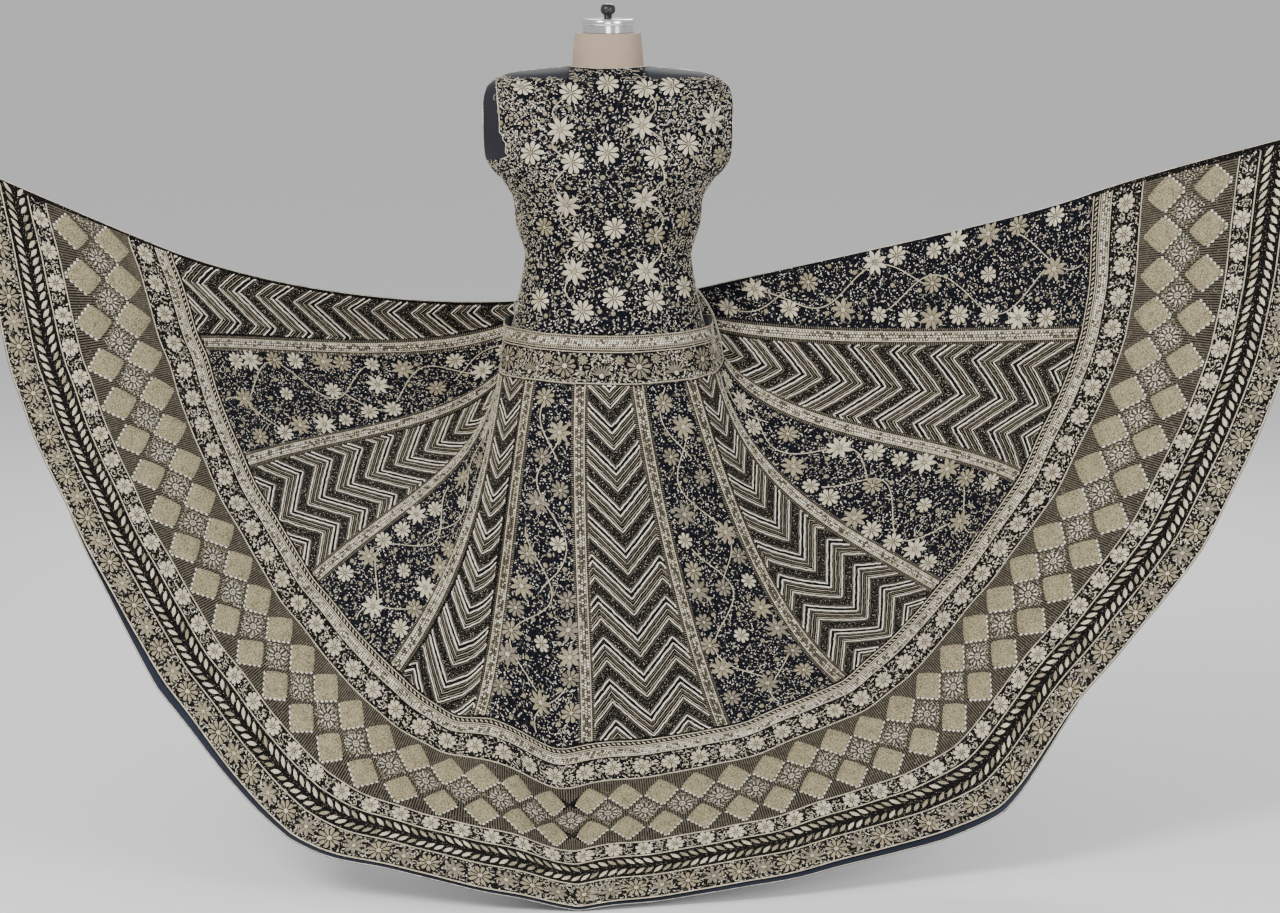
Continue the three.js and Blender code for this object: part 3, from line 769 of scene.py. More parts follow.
# %% Sew the zigzag kalis
def zigzag_work(k):
    work, wobble = Needlework(skirt), dice(20 + k)
    middle = k + ZIG_MIDDLE.get(k, 0.5)
    x = np.arange(-ZIG_REACH * ZIG_STEPS, ZIG_REACH * ZIG_STEPS + 1) * ZIG_HALF / ZIG_STEPS
    for down, width, height, look, flat in ZIG_LINES:
        start = np.arange(BELT_WIDTH + down, KALI_END + 2 * ZIG_HALF, REPEAT)
        v = start[:, None] - ZIG_SLOPE * zig(x)[None, :] + wobble.normal(0, 0.5, (len(start), len(x)))
        held = np.clip(v, BELT_WIDTH + 1, KALI_END - 1.5)
        u = middle + x / skirt.scale(np.full_like(held, middle), held)[0]
        for _ in range(2):
            wide = (skirt.scale(np.full_like(held, middle), held)[0]
                    + skirt.scale(np.clip(u, k, k + 1), held)[0]) / 2
            u = middle + x / wide
        low, high = free_edges(k, held)
        inside = (u > low) & (u < high) & (v == held)
        work.cords(np.clip(u, low, high), held, width, height, look, inside[:, 1:] | inside[:, :-1],
                   flat=flat)
    rng = dice(40 + k)
    u, v = scatter(skirt, rng, k, k + 1, BELT_WIDTH + 2, KALI_END - 2, 3.5)
    low, high = free_edges(k, v)
    wide = skirt.scale(u, v)[0]
    phase = (v + ZIG_SLOPE * zig((u - middle) * wide) - BELT_WIDTH) % REPEAT
    keep = (u > low) & (u < high) & (phase > SPECKLE[0]) & (phase < SPECKLE[1])
    u, v = u[keep], v[keep]
    pale = rng.random(len(u)) < (0.14 if k in (4, 6, 8) else 0.2)     # fewer pale beads at the front: painted shade for the dimmer light there
    work.stamp(bead(1.0, CREAM), u[pale], v[pale], rng.uniform(0, 3, pale.sum()))
    work.stamp(bead(0.85, TAUPE), u[~pale], v[~pale], rng.uniform(0, 3, (~pale).sum()))
    return work


for k in range(0, KALIS, 2):
    name = numbered("kali_cloth", k + 1)
    CLOTHS[name]["work"].append(zigzag_work(k).sew(numbered("zigzag_stitches", k + 1), "zigzag_cloth"))
print("zigzag panels:", {n: c for n, c in TALLY.items() if n.startswith("zigzag")})

# %% [markdown]
# ## Floral kalis
# The kalis between carry a floral jaal: daisies with eight or nine petals, pointed stars on winding
# vines, and a fine fill of leaves, hooks and seed beads. Big flowers are laid out first and the fill
# keeps clear of them, as an embroiderer works. The two front panels' darker flowers are painted shade.

# %% Flowers of the jaal
DAISY, SMALL_DAISY = flower(9, 17.5, PETAL), flower(8, 14.5, PETAL)
SAND_DAISY, DUSTY_DAISY = flower(9, 17.5, GOLD_PETAL, eye=CREAM), flower(9, 16.0, DUSTY, eye=CREAM)
STAR, SAND_STAR = star(8, 24.0, PETAL), star(8, 23.0, GOLD_PETAL, eye=CREAM)
DUSTY_STAR = star(8, 23.0, DUSTY, eye=CREAM)
ROUND_FLOWER = flower(8, 15.8, CREAM, core=0.24, fill=0.84, tip=0.7)
WHITE_FLOWER = flower(8, 15.2, PETAL, core=0.24, fill=0.84, tip=0.7)
BIG_FLOWER = flower(10, 21.0, GOLD_PETAL, eye=CREAM, core=0.26, fill=0.7)
BUD = gather((dome(3.2, 1.5, 8), GOLD_PETAL), (ring(4.0, 1.1, 1.0, 8), GOLD_PETAL))
FILL_LEAVES = [leaf(8.5, 1.5, SILVERY), leaf(7.0, 1.3, CREAM), leaf(9, 1.4, TAUPE)]
LEAF_LOOP = gather((ridge(9.5, 2.3, (0.1, 1, 0.8, 0.1), (0.1, 0.35, 0.35, 0.1), -4.7), BROWN),
                   (ridge(7.0, 1.0, (0.3, 1, 0.8, 0.1), (0.4, 0.9, 0.9, 0.3), -3.2), SILVERY))
HOOKS = [curl(8.0, 4.0, 0.9, CREAM), curl(7.0, -3.6, 0.9, GOLD_PETAL), curl(9.0, 2.6, 1.0, TAUPE)]
print("triangles: a daisy", len(DAISY[1]), "a star", len(STAR[1]), "a big flower", len(BIG_FLOWER[1]))


# %% The fine fill between the flowers
def fill(work, rng, low, high, v0, v1, spots, leaves, hooks, beads, allowed=None, lift=STITCH_LIFT):
    """Leaves, hooks and seed beads, each at its own pitch in mm, in the space that the flowers leave."""
    def places(pitch, grow):
        u, v = scatter(work.surface, rng, low, high, v0, v1, pitch)
        keep = clear(work.surface, u, v, [(a, b, r + grow) for a, b, r in spots])
        if allowed is not None:
            keep &= allowed(u, v)
        return u[keep], v[keep], rng.uniform(0, 2 * math.pi, keep.sum()), rng.integers(0, 10, keep.sum())

    for pitch, grow, motifs in ((hooks, 5.0, HOOKS), (leaves, 2.0, FILL_LEAVES + [LEAF_LOOP])):
        if pitch:
            u, v, turn, kind = places(pitch, grow)
            for i, motif in enumerate(motifs):
                pick = kind % len(motifs) == i
                work.stamp(motif, u[pick], v[pick], turn[pick], 1, lift)
    u, v, turn, kind = places(beads, 0.5)
    work.stamp(bead(1.1, BRIGHT), u[kind < 3], v[kind < 3], turn[kind < 3], 1, lift)
    work.stamp(bead(1.6, BRIGHT), u[kind > 8], v[kind > 8], turn[kind > 8], 1, lift)


# %% Lay the floral kalis
SHADED_FRONT_PANELS = (5, 7)                        # the two front panels, whose darker gold flowers are painted shade
FLOWER_ROWS, FLOWER_PITCH, FLOWER_ROOM = 49, 68, 17     # mm between rows and in a row, and to the edge


def flower_places(k, rng):
    """Loose rows of flowers down panel k, as (u, v, kind). Every other row is shifted."""
    spots = []
    for r, v in enumerate(np.arange(BELT_WIDTH + 2 * FLOWER_ROOM, KALI_END - 20, FLOWER_ROWS)):
        low, high = (float(e) for e in free_edges(k, np.array(v)))
        wide = float(skirt.scale(k + 0.5, v)[0])
        inner = (high - low) * wide - 2 * FLOWER_ROOM
        n = max(1, int(round(inner / FLOWER_PITCH)) + (r % 2 if inner > 90 else 0))
        for i in range(n):
            x = 0.5 + (0.34 if r % 2 else -0.34) * (inner > 30) if n == 1 else i / (n - 1)
            x = FLOWER_ROOM + inner * x + rng.uniform(-5, 5)
            spots.append((low + x / wide, v + rng.uniform(-8, 8), (r + 2 * i) % 3))
    return spots


def floral_work(k):
    work, rng = Needlework(skirt), dice(70 + k)
    spots = flower_places(k, rng)
    bouquets = ([DAISY, SAND_DAISY], [STAR, SAND_STAR], [DAISY, SMALL_DAISY])
    # darker gold flowers on the front panels: painted shade
    if k in SHADED_FRONT_PANELS:
        bouquets = ([SAND_DAISY, DUSTY_DAISY], [SAND_STAR, DUSTY_STAR], [DUSTY_DAISY, SMALL_DAISY])
    for kind, motifs in enumerate(bouquets):
        here = [s for s in spots if s[2] == kind]
        for i, motif in enumerate(motifs):
            some = here[i::2]
            if some:
                work.stamp(motif, [s[0] for s in some], [s[1] for s in some],
                           rng.uniform(0, 6, len(some)), 1, FLOWER_LIFT)
    # two winding vines, left out where a flower lies
    v = np.linspace(BELT_WIDTH + 8, KALI_END - 10, 110)
    wide = skirt.scale(np.full_like(v, k + 0.5), v)[0]
    sway = np.minimum(wide * 0.2, 44) / wide
    for start, side in ((0.4, -0.12), (3.1, 0.16)):
        u = k + 0.5 + side * np.clip((v - 200) / 300, 0, 1) + sway * np.sin(v / 34 + start)
        keep = clear(skirt, u, v, [(a, b, 12) for a, b, _ in spots]) & (np.sin(v / 68 + start) > -0.55)
        work.cords(u, v, 1.9, 0.9, CREAM, (keep[1:] & keep[:-1])[None, :])
    # buds and the fine fill in the space that is left
    taken = [(a, b, 18 if kind != 1 else 16) for a, b, kind in spots]
    u, v = scatter(skirt, rng, k, k + 1, BELT_WIDTH + 14, KALI_END - 12, 44)
    low, high = free_edges(k, v)
    keep = clear(skirt, u, v, [(a, b, r + 7) for a, b, r in taken]) & (u > low + 0.02) & (u < high - 0.02)
    work.stamp(BUD, u[keep], v[keep])
    taken += [(a, b, 5) for a, b in zip(u[keep], v[keep])]

    def allowed(u, v):
        low, high = free_edges(k, v)
        return (u > low - 0.002) & (u < high + 0.002)

    fill(work, rng, k, k + 1, BELT_WIDTH + 3, KALI_END - 3, taken, leaves=15.5, hooks=22.0, beads=5.0,
         allowed=allowed)
    return work


for k in range(1, KALIS, 2):
    name = numbered("kali_cloth", k + 1)
    CLOTHS[name]["work"].append(floral_work(k).sew(numbered("floral_stitches", k + 1), "floral_cloth"))
print("floral panels:", {n: c for n, c in TALLY.items() if n.startswith("floral")})

# %% [markdown]
# ## The border
# The border is one long band, so its motifs are spaced along the whole half circle and then shared out
# to the panels. From the kalis to the hem: a twisted rope, a sequin tape, small flowers, two rows of
# couched diamonds with rosettes between, flowers again, a herringbone of leaves, and a jaal. Places are
# worked out once for the whole band, because a motif that is shared out twice would show at the seams.

# %% Where each band lies, in mm below the kalis
ROPE_AT, SEQUINS_AT, FIRST_AT = 9.1, (21.2, 25.6, 30.0), 58.5
MIDDLE, COLUMN = 160.5, 38            # the diamonds' middle line, and how far each row is from it
HALF_ALONG, HALF_ACROSS = 28.5, 30.5  # half a diamond's size
SECOND_AT, HERRING_AT, HERRING_HALF, JAAL_AT = 253.5, 295, 11.4, 346
CORDS = [(4, 1.7), (14.2, 1.7), (17.6, 1.7), (33.4, 1.9), (84, 2.2), (237, 2.2), (270, 2.2),
         (320, 2.2), (370.4, 2.8)]    # each cord's place and width
# Where the ground of each band starts and ends
FIRST_BAND, DIAMOND_BAND, SECOND_BAND, JAAL_BAND = (37, 81), (85.5, 235.5), (239.5, 267.5), (322.5, 367.5)
SPACE_AT, SPACE_HALF = 33, 30         # the space round a rosette: how far beside a diamond, and half its size
FREE = 0.036                          # plain margin at the two free ends, in s
print(len(CORDS), "cords, diamonds", 2 * HALF_ALONG, "by", 2 * HALF_ACROSS, "mm")


# %% A couched diamond with scalloped lower edges
def diamond(corners=24):
    turn = 2 * np.pi * np.arange(corners) / corners

    def round_at(size, h):
        c, s = np.cos(turn), np.sin(turn)
        return np.stack([HALF_ALONG * size * np.sign(s) * np.abs(s)**1.62,
                         HALF_ACROSS * size * np.sign(c) * np.abs(c)**1.62, h + 0 * turn], 1)

    points = np.concatenate([round_at(1, 0), round_at(0.93, 1.2), round_at(0.5, 1.7), [[0, 0, 1.9]]])
    i, j = np.arange(corners), (np.arange(corners) + 1) % corners
    faces = [np.stack(f, 1) for k in (0, corners)
             for f in ((i + k, j + k + corners, i + k + corners), (i + k, j + k, j + k + corners))]
    faces.append(np.stack([i + 2 * corners, j + 2 * corners, np.full(corners, 3 * corners)], 1))
    pieces = [((points, np.concatenate(faces)), PAD)]
    steps = (np.arange(5) + 0.5) / 5
    for motif, look, down, x, y, shift, h in (
            (leaf(7.2, 2.3, CREAM, 1.6)[:2], BRIGHT, 1, 1.1, 1.12, 1, 0.4),
            (leaf(5.0, 0.8, CREAM, 0.9)[:2], CREAM, -1, 1.03, 1.04, 0, 0.3)):
        for side in (-1, 1):
            for t in steps:
                p, f = turned(motif, down * side * math.radians(44))
                place = [side * (1 - t) * HALF_ALONG * x, down * t * HALF_ACROSS * y + shift, h]
                pieces.append(((p + place, f), look))
    return gather(*pieces)


# %% The border's other motifs
DIAMOND, ROSETTE = diamond(), rosette(18.0, SILVERY)
TWIST = gather((ridge(8.0, 1.35, (0.2, 1, 1, 0.2), (0.3, 1.4, 1.4, 0.3), -4.0), CREAM))
HERRING, SHADED_HERRING = plump_leaf(20.0, 4.0, PETAL), plump_leaf(19.0, 3.7, GOLD_PETAL)
TICK = gather((ridge(4.4, 0.9, (0.8, 1, 0.8), (0.2, 0.7, 0.2), -2.2), CREAM))
BAND_CURLS = curl(7.0, 4.4, 1.5, CREAM), curl(7.0, -4.4, 1.5, CREAM)
print("a diamond has", len(DIAMOND[1]), "triangles")


# %% Places along the whole border
def along(down, pitch, offset=0.0):
    return even(skirt, KALI_END + down, pitch, FREE, KALIS - FREE, offset)


def paced(down, front, side, offset=0.0):
    """Places whose pitch grows from the front to the two free ends, as the maker spread them."""
    u = np.linspace(FREE, KALIS - FREE, 1441)
    wide, _ = skirt.scale(u, np.full_like(u, KALI_END + down))
    pitch = front + (side - front) * sideways(u)
    count = np.concatenate([[0], np.cumsum((wide[1:] + wide[:-1]) / 2 * np.diff(u) / pitch[1:])])
    gaps = np.arange(offset + 0.5, count[-1] - 0.2)
    return np.interp(np.arange(offset, count[-1] - 0.3), count, u), np.interp(gaps, count, u)


def sideways(u):
    """0 at the centre front, 1 at the sides and beyond."""
    return np.clip(np.abs(u - KALIS / 2) / 4.5, 0, 1)


DIAMONDS, BETWEEN = paced(MIDDLE, 62, 73, 0.45)
FIRST, FIRST_GAPS = paced(FIRST_AT, 49, 54, 0.4)
SECOND, SECOND_GAPS = paced(SECOND_AT, 51, 56, 0.6)
STRIPES = along(MIDDLE, 4.1)
BAND_WIDE = skirt.scale(STRIPES, np.full_like(STRIPES, KALI_END + MIDDLE))[0]
STRIPE_FROM = np.abs((STRIPES[:, None] - DIAMONDS[None, :]) * BAND_WIDE[:, None]).min(1)
LEAVES, ROPE = along(HERRING_AT, 15.2), along(9, 8.6)
JAAL_FLOWERS, JAAL_STARS = along(JAAL_AT, 86, 30), along(JAAL_AT, 86, 73)
print(2 * len(DIAMONDS), "diamonds,", 2 * len(LEAVES), "leaves and", len(STRIPES), "stripes round the border")


# %% Sequins, cords and the rope
def sequins(work, rng, u, v, lift=STITCH_LIFT, shade=0.11, flash=0.45):
    """Sequins of three tones in loose order: a share in dark bronze as painted shade, a share in the bright
    thread as painted glints, the rest gold.
    """
    tone, turn = rng.random(len(u)), rng.uniform(0, 1, len(u))
    v = np.broadcast_to(v, u.shape)
    for look, low, high in ((BROWN, 0, shade), (SEQUIN, shade, 1 - flash), (BRIGHT, 1 - flash, 1.01)):
        pick = (tone >= low) & (tone < high)
        work.stamp(bead(2.3, look, 0.8, 6), u[pick], v[pick], turn[pick], 1, lift)


def at(down):
    return KALI_END + down


def on_panel(places, k):
    return places[(places >= k) & (places < k + 1)]


def sew_lines(work, rng, k, low, high):
    line = np.linspace(low, high, 31)
    for down, width in CORDS:
        work.cords(line, np.full_like(line, at(down)), width, 1.4, CREAM)
    work.stamp(TWIST, on_panel(ROPE, k), at(ROPE_AT), -0.95)
    for down in SEQUINS_AT:
        sequins(work, rng, on_panel(along(down, 4.7, down), k), at(down))


# %% The two bands of flowers
def sew_flower_bands(work, rng, k, low, high):
    first, second = on_panel(FIRST, k), on_panel(SECOND, k)
    work.stamp(ROUND_FLOWER, first, at(FIRST_AT), rng.uniform(0, 6, len(first)), 1, FLOWER_LIFT)
    work.stamp(WHITE_FLOWER, second, at(SECOND_AT), rng.uniform(0, 6, len(second)), 1, FLOWER_LIFT)
    for down, gaps in ((FIRST_AT, on_panel(FIRST_GAPS, k)), (SECOND_AT, on_panel(SECOND_GAPS, k))):
        work.stamp(BAND_CURLS[0], gaps, at(down - 6), 0.6)
        work.stamp(BAND_CURLS[1], gaps, at(down + 7), 2.6)
    for down, band, places, room in ((FIRST_AT, FIRST_BAND, first, 15),
                                     (SECOND_AT, SECOND_BAND, second, 14)):
        fill(work, rng, low, high, at(band[0]), at(band[1]), [(u, at(down), room) for u in places],
             leaves=8.5, hooks=None, beads=4.6)


# %% Diamonds, rosettes and the striped ground
def sew_stripes(work, k):
    """Brown cords across the band, broken where a diamond or a rosette lies."""
    picked = (STRIPES >= k) & (STRIPES < k + 1)
    reach = HALF_ACROSS * (1 - np.clip(STRIPE_FROM[picked] / HALF_ALONG, 0, 1))
    upper, lower, t = MIDDLE - COLUMN, MIDDLE + COLUMN, np.linspace(0, 1, 6)[None, :]
    first, last = DIAMOND_BAND
    for start, end in ((first + 0 * reach, upper - reach), (upper + reach, lower - reach),
                       (lower + reach, last + 0 * reach)):
        v = KALI_END + start[:, None] + (end - start)[:, None] * t
        work.cords(np.repeat(STRIPES[picked][:, None], 6, 1), v, 2.2, 0.7, BROWN)


def sew_diamonds(work, rng, k, low, high):
    diamonds, spaces = on_panel(DIAMONDS, k), on_panel(BETWEEN, k)
    girth = 0.93 + 0.12 * sideways(diamonds)
    work.stamp(DIAMOND, diamonds, at(MIDDLE - COLUMN), 0, girth, FLOWER_LIFT)
    work.stamp(DIAMOND, diamonds, at(MIDDLE + COLUMN), 0, girth, FLOWER_LIFT)
    work.stamp(ROSETTE, spaces, at(MIDDLE), rng.uniform(0, 6, len(spaces)), 1, FLOWER_LIFT)
    sew_stripes(work, k)
    # seed beads and small leaves fill the diamond-shaped space round each rosette
    u, v = scatter(skirt, rng, low, high, at(MIDDLE - 34), at(MIDDLE + 34), 4.3)
    wide = skirt.scale(u, v)[0]
    near = DIAMONDS[np.abs(u[:, None] - DIAMONDS[None, :]).argmin(1)]
    across = np.abs(np.abs(u - near) * wide - SPACE_AT)
    keep = ((across + np.abs(v - at(MIDDLE)) < SPACE_HALF)
            & clear(skirt, u, v, [(s, at(MIDDLE), 15) for s in BETWEEN]))
    pale = rng.random(len(u)) < 0.45
    work.stamp(bead(1.5, BRIGHT), u[keep & pale], v[keep & pale])
    gold = keep & ~pale
    work.stamp(leaf(5, 1.1, GOLD_PETAL), u[gold], v[gold], rng.uniform(0, 6, gold.sum()))


# %% Herringbone and outer jaal
def sew_outer_bands(work, rng, k, low, high):
    """Two rows of slanting leaves, some in darker gold, more of them at the front as painted shade, then
    flowers and stars in a dense fill.
    """
    leaves = on_panel(LEAVES, k)
    for down, slant in ((HERRING_AT - HERRING_HALF, -math.radians(50)),
                        (HERRING_AT + HERRING_HALF, -math.radians(130))):
        # more leaves in darker gold at the front, as painted shade; a few elsewhere at random
        shaded = rng.random(len(leaves)) < (0.55 if 3 < k < 9 else 0.2)
        work.stamp(HERRING, leaves[~shaded], at(down), slant)
        work.stamp(SHADED_HERRING, leaves[shaded], at(down), slant)
    big, small = on_panel(JAAL_FLOWERS, k), on_panel(JAAL_STARS, k)
    turn, size = rng.uniform(0, 6, len(big)), rng.uniform(0.84, 0.94, len(big))
    work.stamp(BIG_FLOWER, big, at(JAAL_AT), turn, size, FLOWER_LIFT)
    work.stamp(SAND_STAR if k < 4 else DUSTY_STAR, small, at(JAAL_AT), rng.uniform(0, 6, len(small)), 0.84,
               FLOWER_LIFT)
    taken = [(u, at(JAAL_AT), 17.5) for u in big] + [(u, at(JAAL_AT), 13.5) for u in small]
    fill(work, rng, low, high, at(JAAL_BAND[0]), at(JAAL_BAND[1]), taken, leaves=7.8, hooks=10.5, beads=4.6)


# %% Sew the border panels
def border_work(k):
    work, rng = Needlework(skirt), dice(120 + k)
    low, high = max(k, FREE), min(k + 1, KALIS - FREE)
    for sew_band in (sew_lines, sew_flower_bands, sew_diamonds, sew_outer_bands):
        sew_band(work, rng, k, low, high)
    return work


for k in range(KALIS):
    name = numbered("border_cloth", k + 1)
    CLOTHS[name]["work"].append(border_work(k).sew(numbered("border_stitches", k + 1), "border_cloth"))
print("border panels:", {n: c for n, c in TALLY.items() if n.startswith("border")})

# %% [markdown]
# ## Seam tapes and belt
# A sequin tape covers each join of the kalis: two cream cords, sequins between, and a row of tick
# stitches that holds it down at both sides. The tapes at the front carry more bronze sequins and fewer
# bright ones, as painted shade. The belt has the same tape on top and a flowered band below it. One
# woven strip could be bent along each seam, but stamping it sequin by sequin lets every one tilt and
# shine by itself.

# %% The stitch that holds a tape down
TAPE_FACE, BELT_FACE = TAPE_FACES[0], BELT_FACES[0]
HOLD_LENGTH, HOLD_DROP = 5.6, 1.2     # it slopes from the tape's edge down to the kali
points, faces = ridge(HOLD_LENGTH, 0.6, (0.8, 1, 0.8), (0.2, 0.7, 0.2), -HOLD_LENGTH / 2)
points[:, 2] += HOLD_DROP / 2 - points[:, 1] * HOLD_DROP / HOLD_LENGTH
HOLD = gather(((points, faces), DUSTY))
FRONT_TAPES, FRONT_SHADE_AND_GLINT, SIDE_SHADE_AND_GLINT = range(5, 9), (0.38, 0.12), (0.11, 0.42)    # shares of bronze sequins as painted shade and of bright ones as painted glints; more shade at the front
print("a holding stitch has", len(HOLD[1]), "triangles")


# %% Stitch the seam tapes
def beside_seam(k, x, v):
    """The place in s that lies x mm beside seam k."""
    return k + x / skirt.scale(np.full_like(v, k), v)[0]


for k in range(1, KALIS):
    work, rng = Needlework(skirt), dice(160 + k)
    v = np.linspace(BELT_WIDTH + 1, KALI_END - 1, 110)
    for x in (-8.1, 8.1):
        work.cords(beside_seam(k, x, v), v, 1.9, 1.2, CREAM, lift=TAPE_FACE)
    for x in (-4.9, 0, 4.9):
        v = np.arange(BELT_WIDTH + 4 + abs(x) / 2, KALI_END - 2, 5.0)
        # front tapes: more painted shade, fewer painted glints
        tones = FRONT_SHADE_AND_GLINT if k in FRONT_TAPES else SIDE_SHADE_AND_GLINT
        sequins(work, rng, beside_seam(k, x, v), v, TAPE_FACE + 0.1, *tones)
    for x, turn in ((-12.0, math.pi / 2), (12.0, -math.pi / 2)):
        v = np.arange(BELT_WIDTH + 4, KALI_END - 3, 3.6)
        work.stamp(HOLD, beside_seam(k, x, v), v, turn)
    stitches = work.sew(numbered("tape_stitches", k), "sequin_tape")
    CLOTHS[numbered("tape_cloth", k)]["work"].append(stitches)
print("seam tapes:", sum(c for n, c in TALLY.items() if n.startswith("tape")), "triangles")

# %% Stitch the belt's tape
END = 0.05                            # the belt's plain ends, in s
work, rng = Needlework(skirt), dice(200)
line = np.linspace(END, KALIS - END, 241)
for v, width in ((1.6, 1.4), (6.2, 1.3), (21.0, 1.3), (25.6, 1.4)):
    work.cords(line, np.full_like(line, v), width, 1.2, CREAM, lift=BELT_FACE + CORD_LIFT)
for v in (9.4, 13.6, 17.8):
    sequins(work, rng, even(skirt, v, 4.9, END, KALIS - END, 1.7 * v), v, BELT_FACE + 0.4)
for v in (3.9, 23.3):
    work.stamp(TICK, even(skirt, v, 3.6, END, KALIS - END), v, 0, 0.6, BELT_FACE + CORD_LIFT)
CLOTHS["belt_tape_cloth"]["work"].append(work.sew("belt_tape_stitches", "sequin_tape"))
print("belt tape:", TALLY["belt_tape_stitches"], "triangles")

# %% Stitch the belt's flowered band
FLOWERS_AT, FANS_AT, HALF_DAISIES_AT, BUDS_AT = 56, 72, 44, 68
BELT_MIDDLE, BELT_GROUND = 57, (32.5, 83)      # where lengths along the belt are taken, and its fine fill
MOTIF_LIFT = BELT_FACE + FLOWER_LIFT
work, rng = Needlework(skirt), dice(201)
work.cords(line, np.full_like(line, 29.8), 1.8, 1.0, CREAM, lift=BELT_FACE + CORD_LIFT)
work.cords(line, np.full_like(line, 85.6), 2.2, 1.6, CREAM, lift=BELT_FACE + CORD_LIFT)
BELT_FLOWER = flower(11, 21.0, DUSTY, eye=CREAM, core=0.26, fill=0.66)
blade = ridge(15, 1.5, (0.3, 1, 1, 0.4), (0.3, 1.1, 1.1, 0.3), 5)
FAN = gather(*[(turned(blade, a), DUSTY) for a in np.linspace(math.pi - 1.3, math.pi + 1.3, 9)],
             (dome(4.5, 1.4, 8), CREAM))
flowers, fans, buds = (even(skirt, BELT_MIDDLE, pitch, END, KALIS - END, offset)
                       for pitch, offset in ((132, 62), (132, 128), (66, 29)))
work.stamp(BELT_FLOWER, flowers, FLOWERS_AT, rng.uniform(0, 6, len(flowers)), 1, MOTIF_LIFT)
work.stamp(FAN, fans, FANS_AT, 0, 1, MOTIF_LIFT)
work.stamp(SAND_DAISY, buds, HALF_DAISIES_AT, 0, 0.5, MOTIF_LIFT)
work.stamp(BUD, buds, BUDS_AT, 0, 1, MOTIF_LIFT)
taken = [(u, v, radius) for places, v, radius in ((flowers, FLOWERS_AT, 22), (fans, 66, 13),
                                                  (buds, HALF_DAISIES_AT, 9), (buds, BUDS_AT, 5))
         for u in places]
fill(work, rng, END, KALIS - END, *BELT_GROUND, taken, leaves=6.6, hooks=9.0, beads=3.9,
     lift=BELT_FACE + STITCH_LIFT)
CLOTHS["belt_cloth"]["work"].append(work.sew("belt_stitches", "border_cloth"))
print("belt band:", TALLY["belt_stitches"], "triangles")

# %% [markdown]
# ## The form and the choli
# The form is a stack of sections, each somewhere between an ellipse and a box. The choli follows the
# same sections with a little ease, opens at the armholes and flares there. A subdivided box could be
# pushed into this shape, but sections can be measured, and the blouse fits because it shares them.

# %% Sections of the form
FORM_RINGS = np.array([
    # z, half width, front, back, squareness, the choli's ease
    [1361, 58, 50, 50, 2.0, 0], [1325, 61, 52, 52, 2.0, 0], [1302, 66, 56, 56, 2.0, 0.5],
    [1296, 105, 62, 60, 2.2, 1.5], [1287, 168, 70, 68, 2.4, 3], [1268, 196, 82, 80, 2.5, 9],
    [1240, 207, 95, 90, 2.5, 8], [1192, 208, 110, 96, 2.5, 6], [1148, 200, 124, 98, 2.5, 7],
    [1114, 180, 128, 96, 2.4, 7], [1076, 163, 122, 94, 2.3, 2.5], [1030, 158, 108, 88, 2.2, 2.5],
    [975, 142, 97, 84, 2.1, 2.5], [920, 150, 107, 92, 2.1, 2], [873, 160, 121, 104, 2.1, 1],
    [845, 168, 127.2, 110, 2.1, 0.6], [826, 173, 127, 113, 2.1, 0.5], [790, 183, 126, 116, 2.1, 0],
    [735, 185, 124, 112, 2.1, 0],
])
FORM_TOP, FORM_FOOT = FORM_RINGS[0, 0], FORM_RINGS[-1, 0]
print("form from", FORM_FOOT, "to", FORM_TOP, "mm, widest", 2 * FORM_RINGS[:, 1].max(), "mm")


def ring_at(q):
    """A section between the table's, on a soft curve through them."""
    q = np.clip(q, 0, len(FORM_RINGS) - 1)
    i = np.clip(q.astype(int), 0, len(FORM_RINGS) - 2)
    a, b, c, d = (FORM_RINGS[np.clip(i + j, 0, len(FORM_RINGS) - 1)] for j in (-1, 0, 1, 2))
    t = (q - i)[:, None]
    bend = 0.35                       # low, so that no section bulges past its neighbours
    m0, m1 = bend * (c - a), bend * (d - b)
    return ((2 * t**3 - 3 * t**2 + 1) * b + (t**3 - 2 * t**2 + t) * m0 + (3 * t**2 - 2 * t**3) * c
            + (t**3 - t**2) * m1)


def section(rings, turn):
    """Points of sections, rows by turns; turn is 0 at the front and grows to the right."""
    z, wide, front, back, square = (rings[:, None, i] for i in range(5))
    s, c = np.sin(turn), np.cos(turn)
    x = wide * np.sign(s) * np.abs(s) ** (2 / square)
    y = -np.where(c > 0, front, back) * np.sign(c) * np.abs(c) ** (2 / square)
    return np.stack(np.broadcast_arrays(x, y, z), -1)


def form_out(q, turn, out):
    """Points that lie out mm outside the form."""
    down = section(ring_at(q + 0.7), turn) - section(ring_at(q - 0.7), turn)
    across = section(ring_at(q), turn + 0.05) - section(ring_at(q), turn - 0.05)
    return section(ring_at(q), turn) + unit(np.cross(down, across)) * np.asarray(out)[..., None]


print("at its waist the form is", round(float(2 * ring_at(np.array([12.0]))[0, 1])), "mm wide")

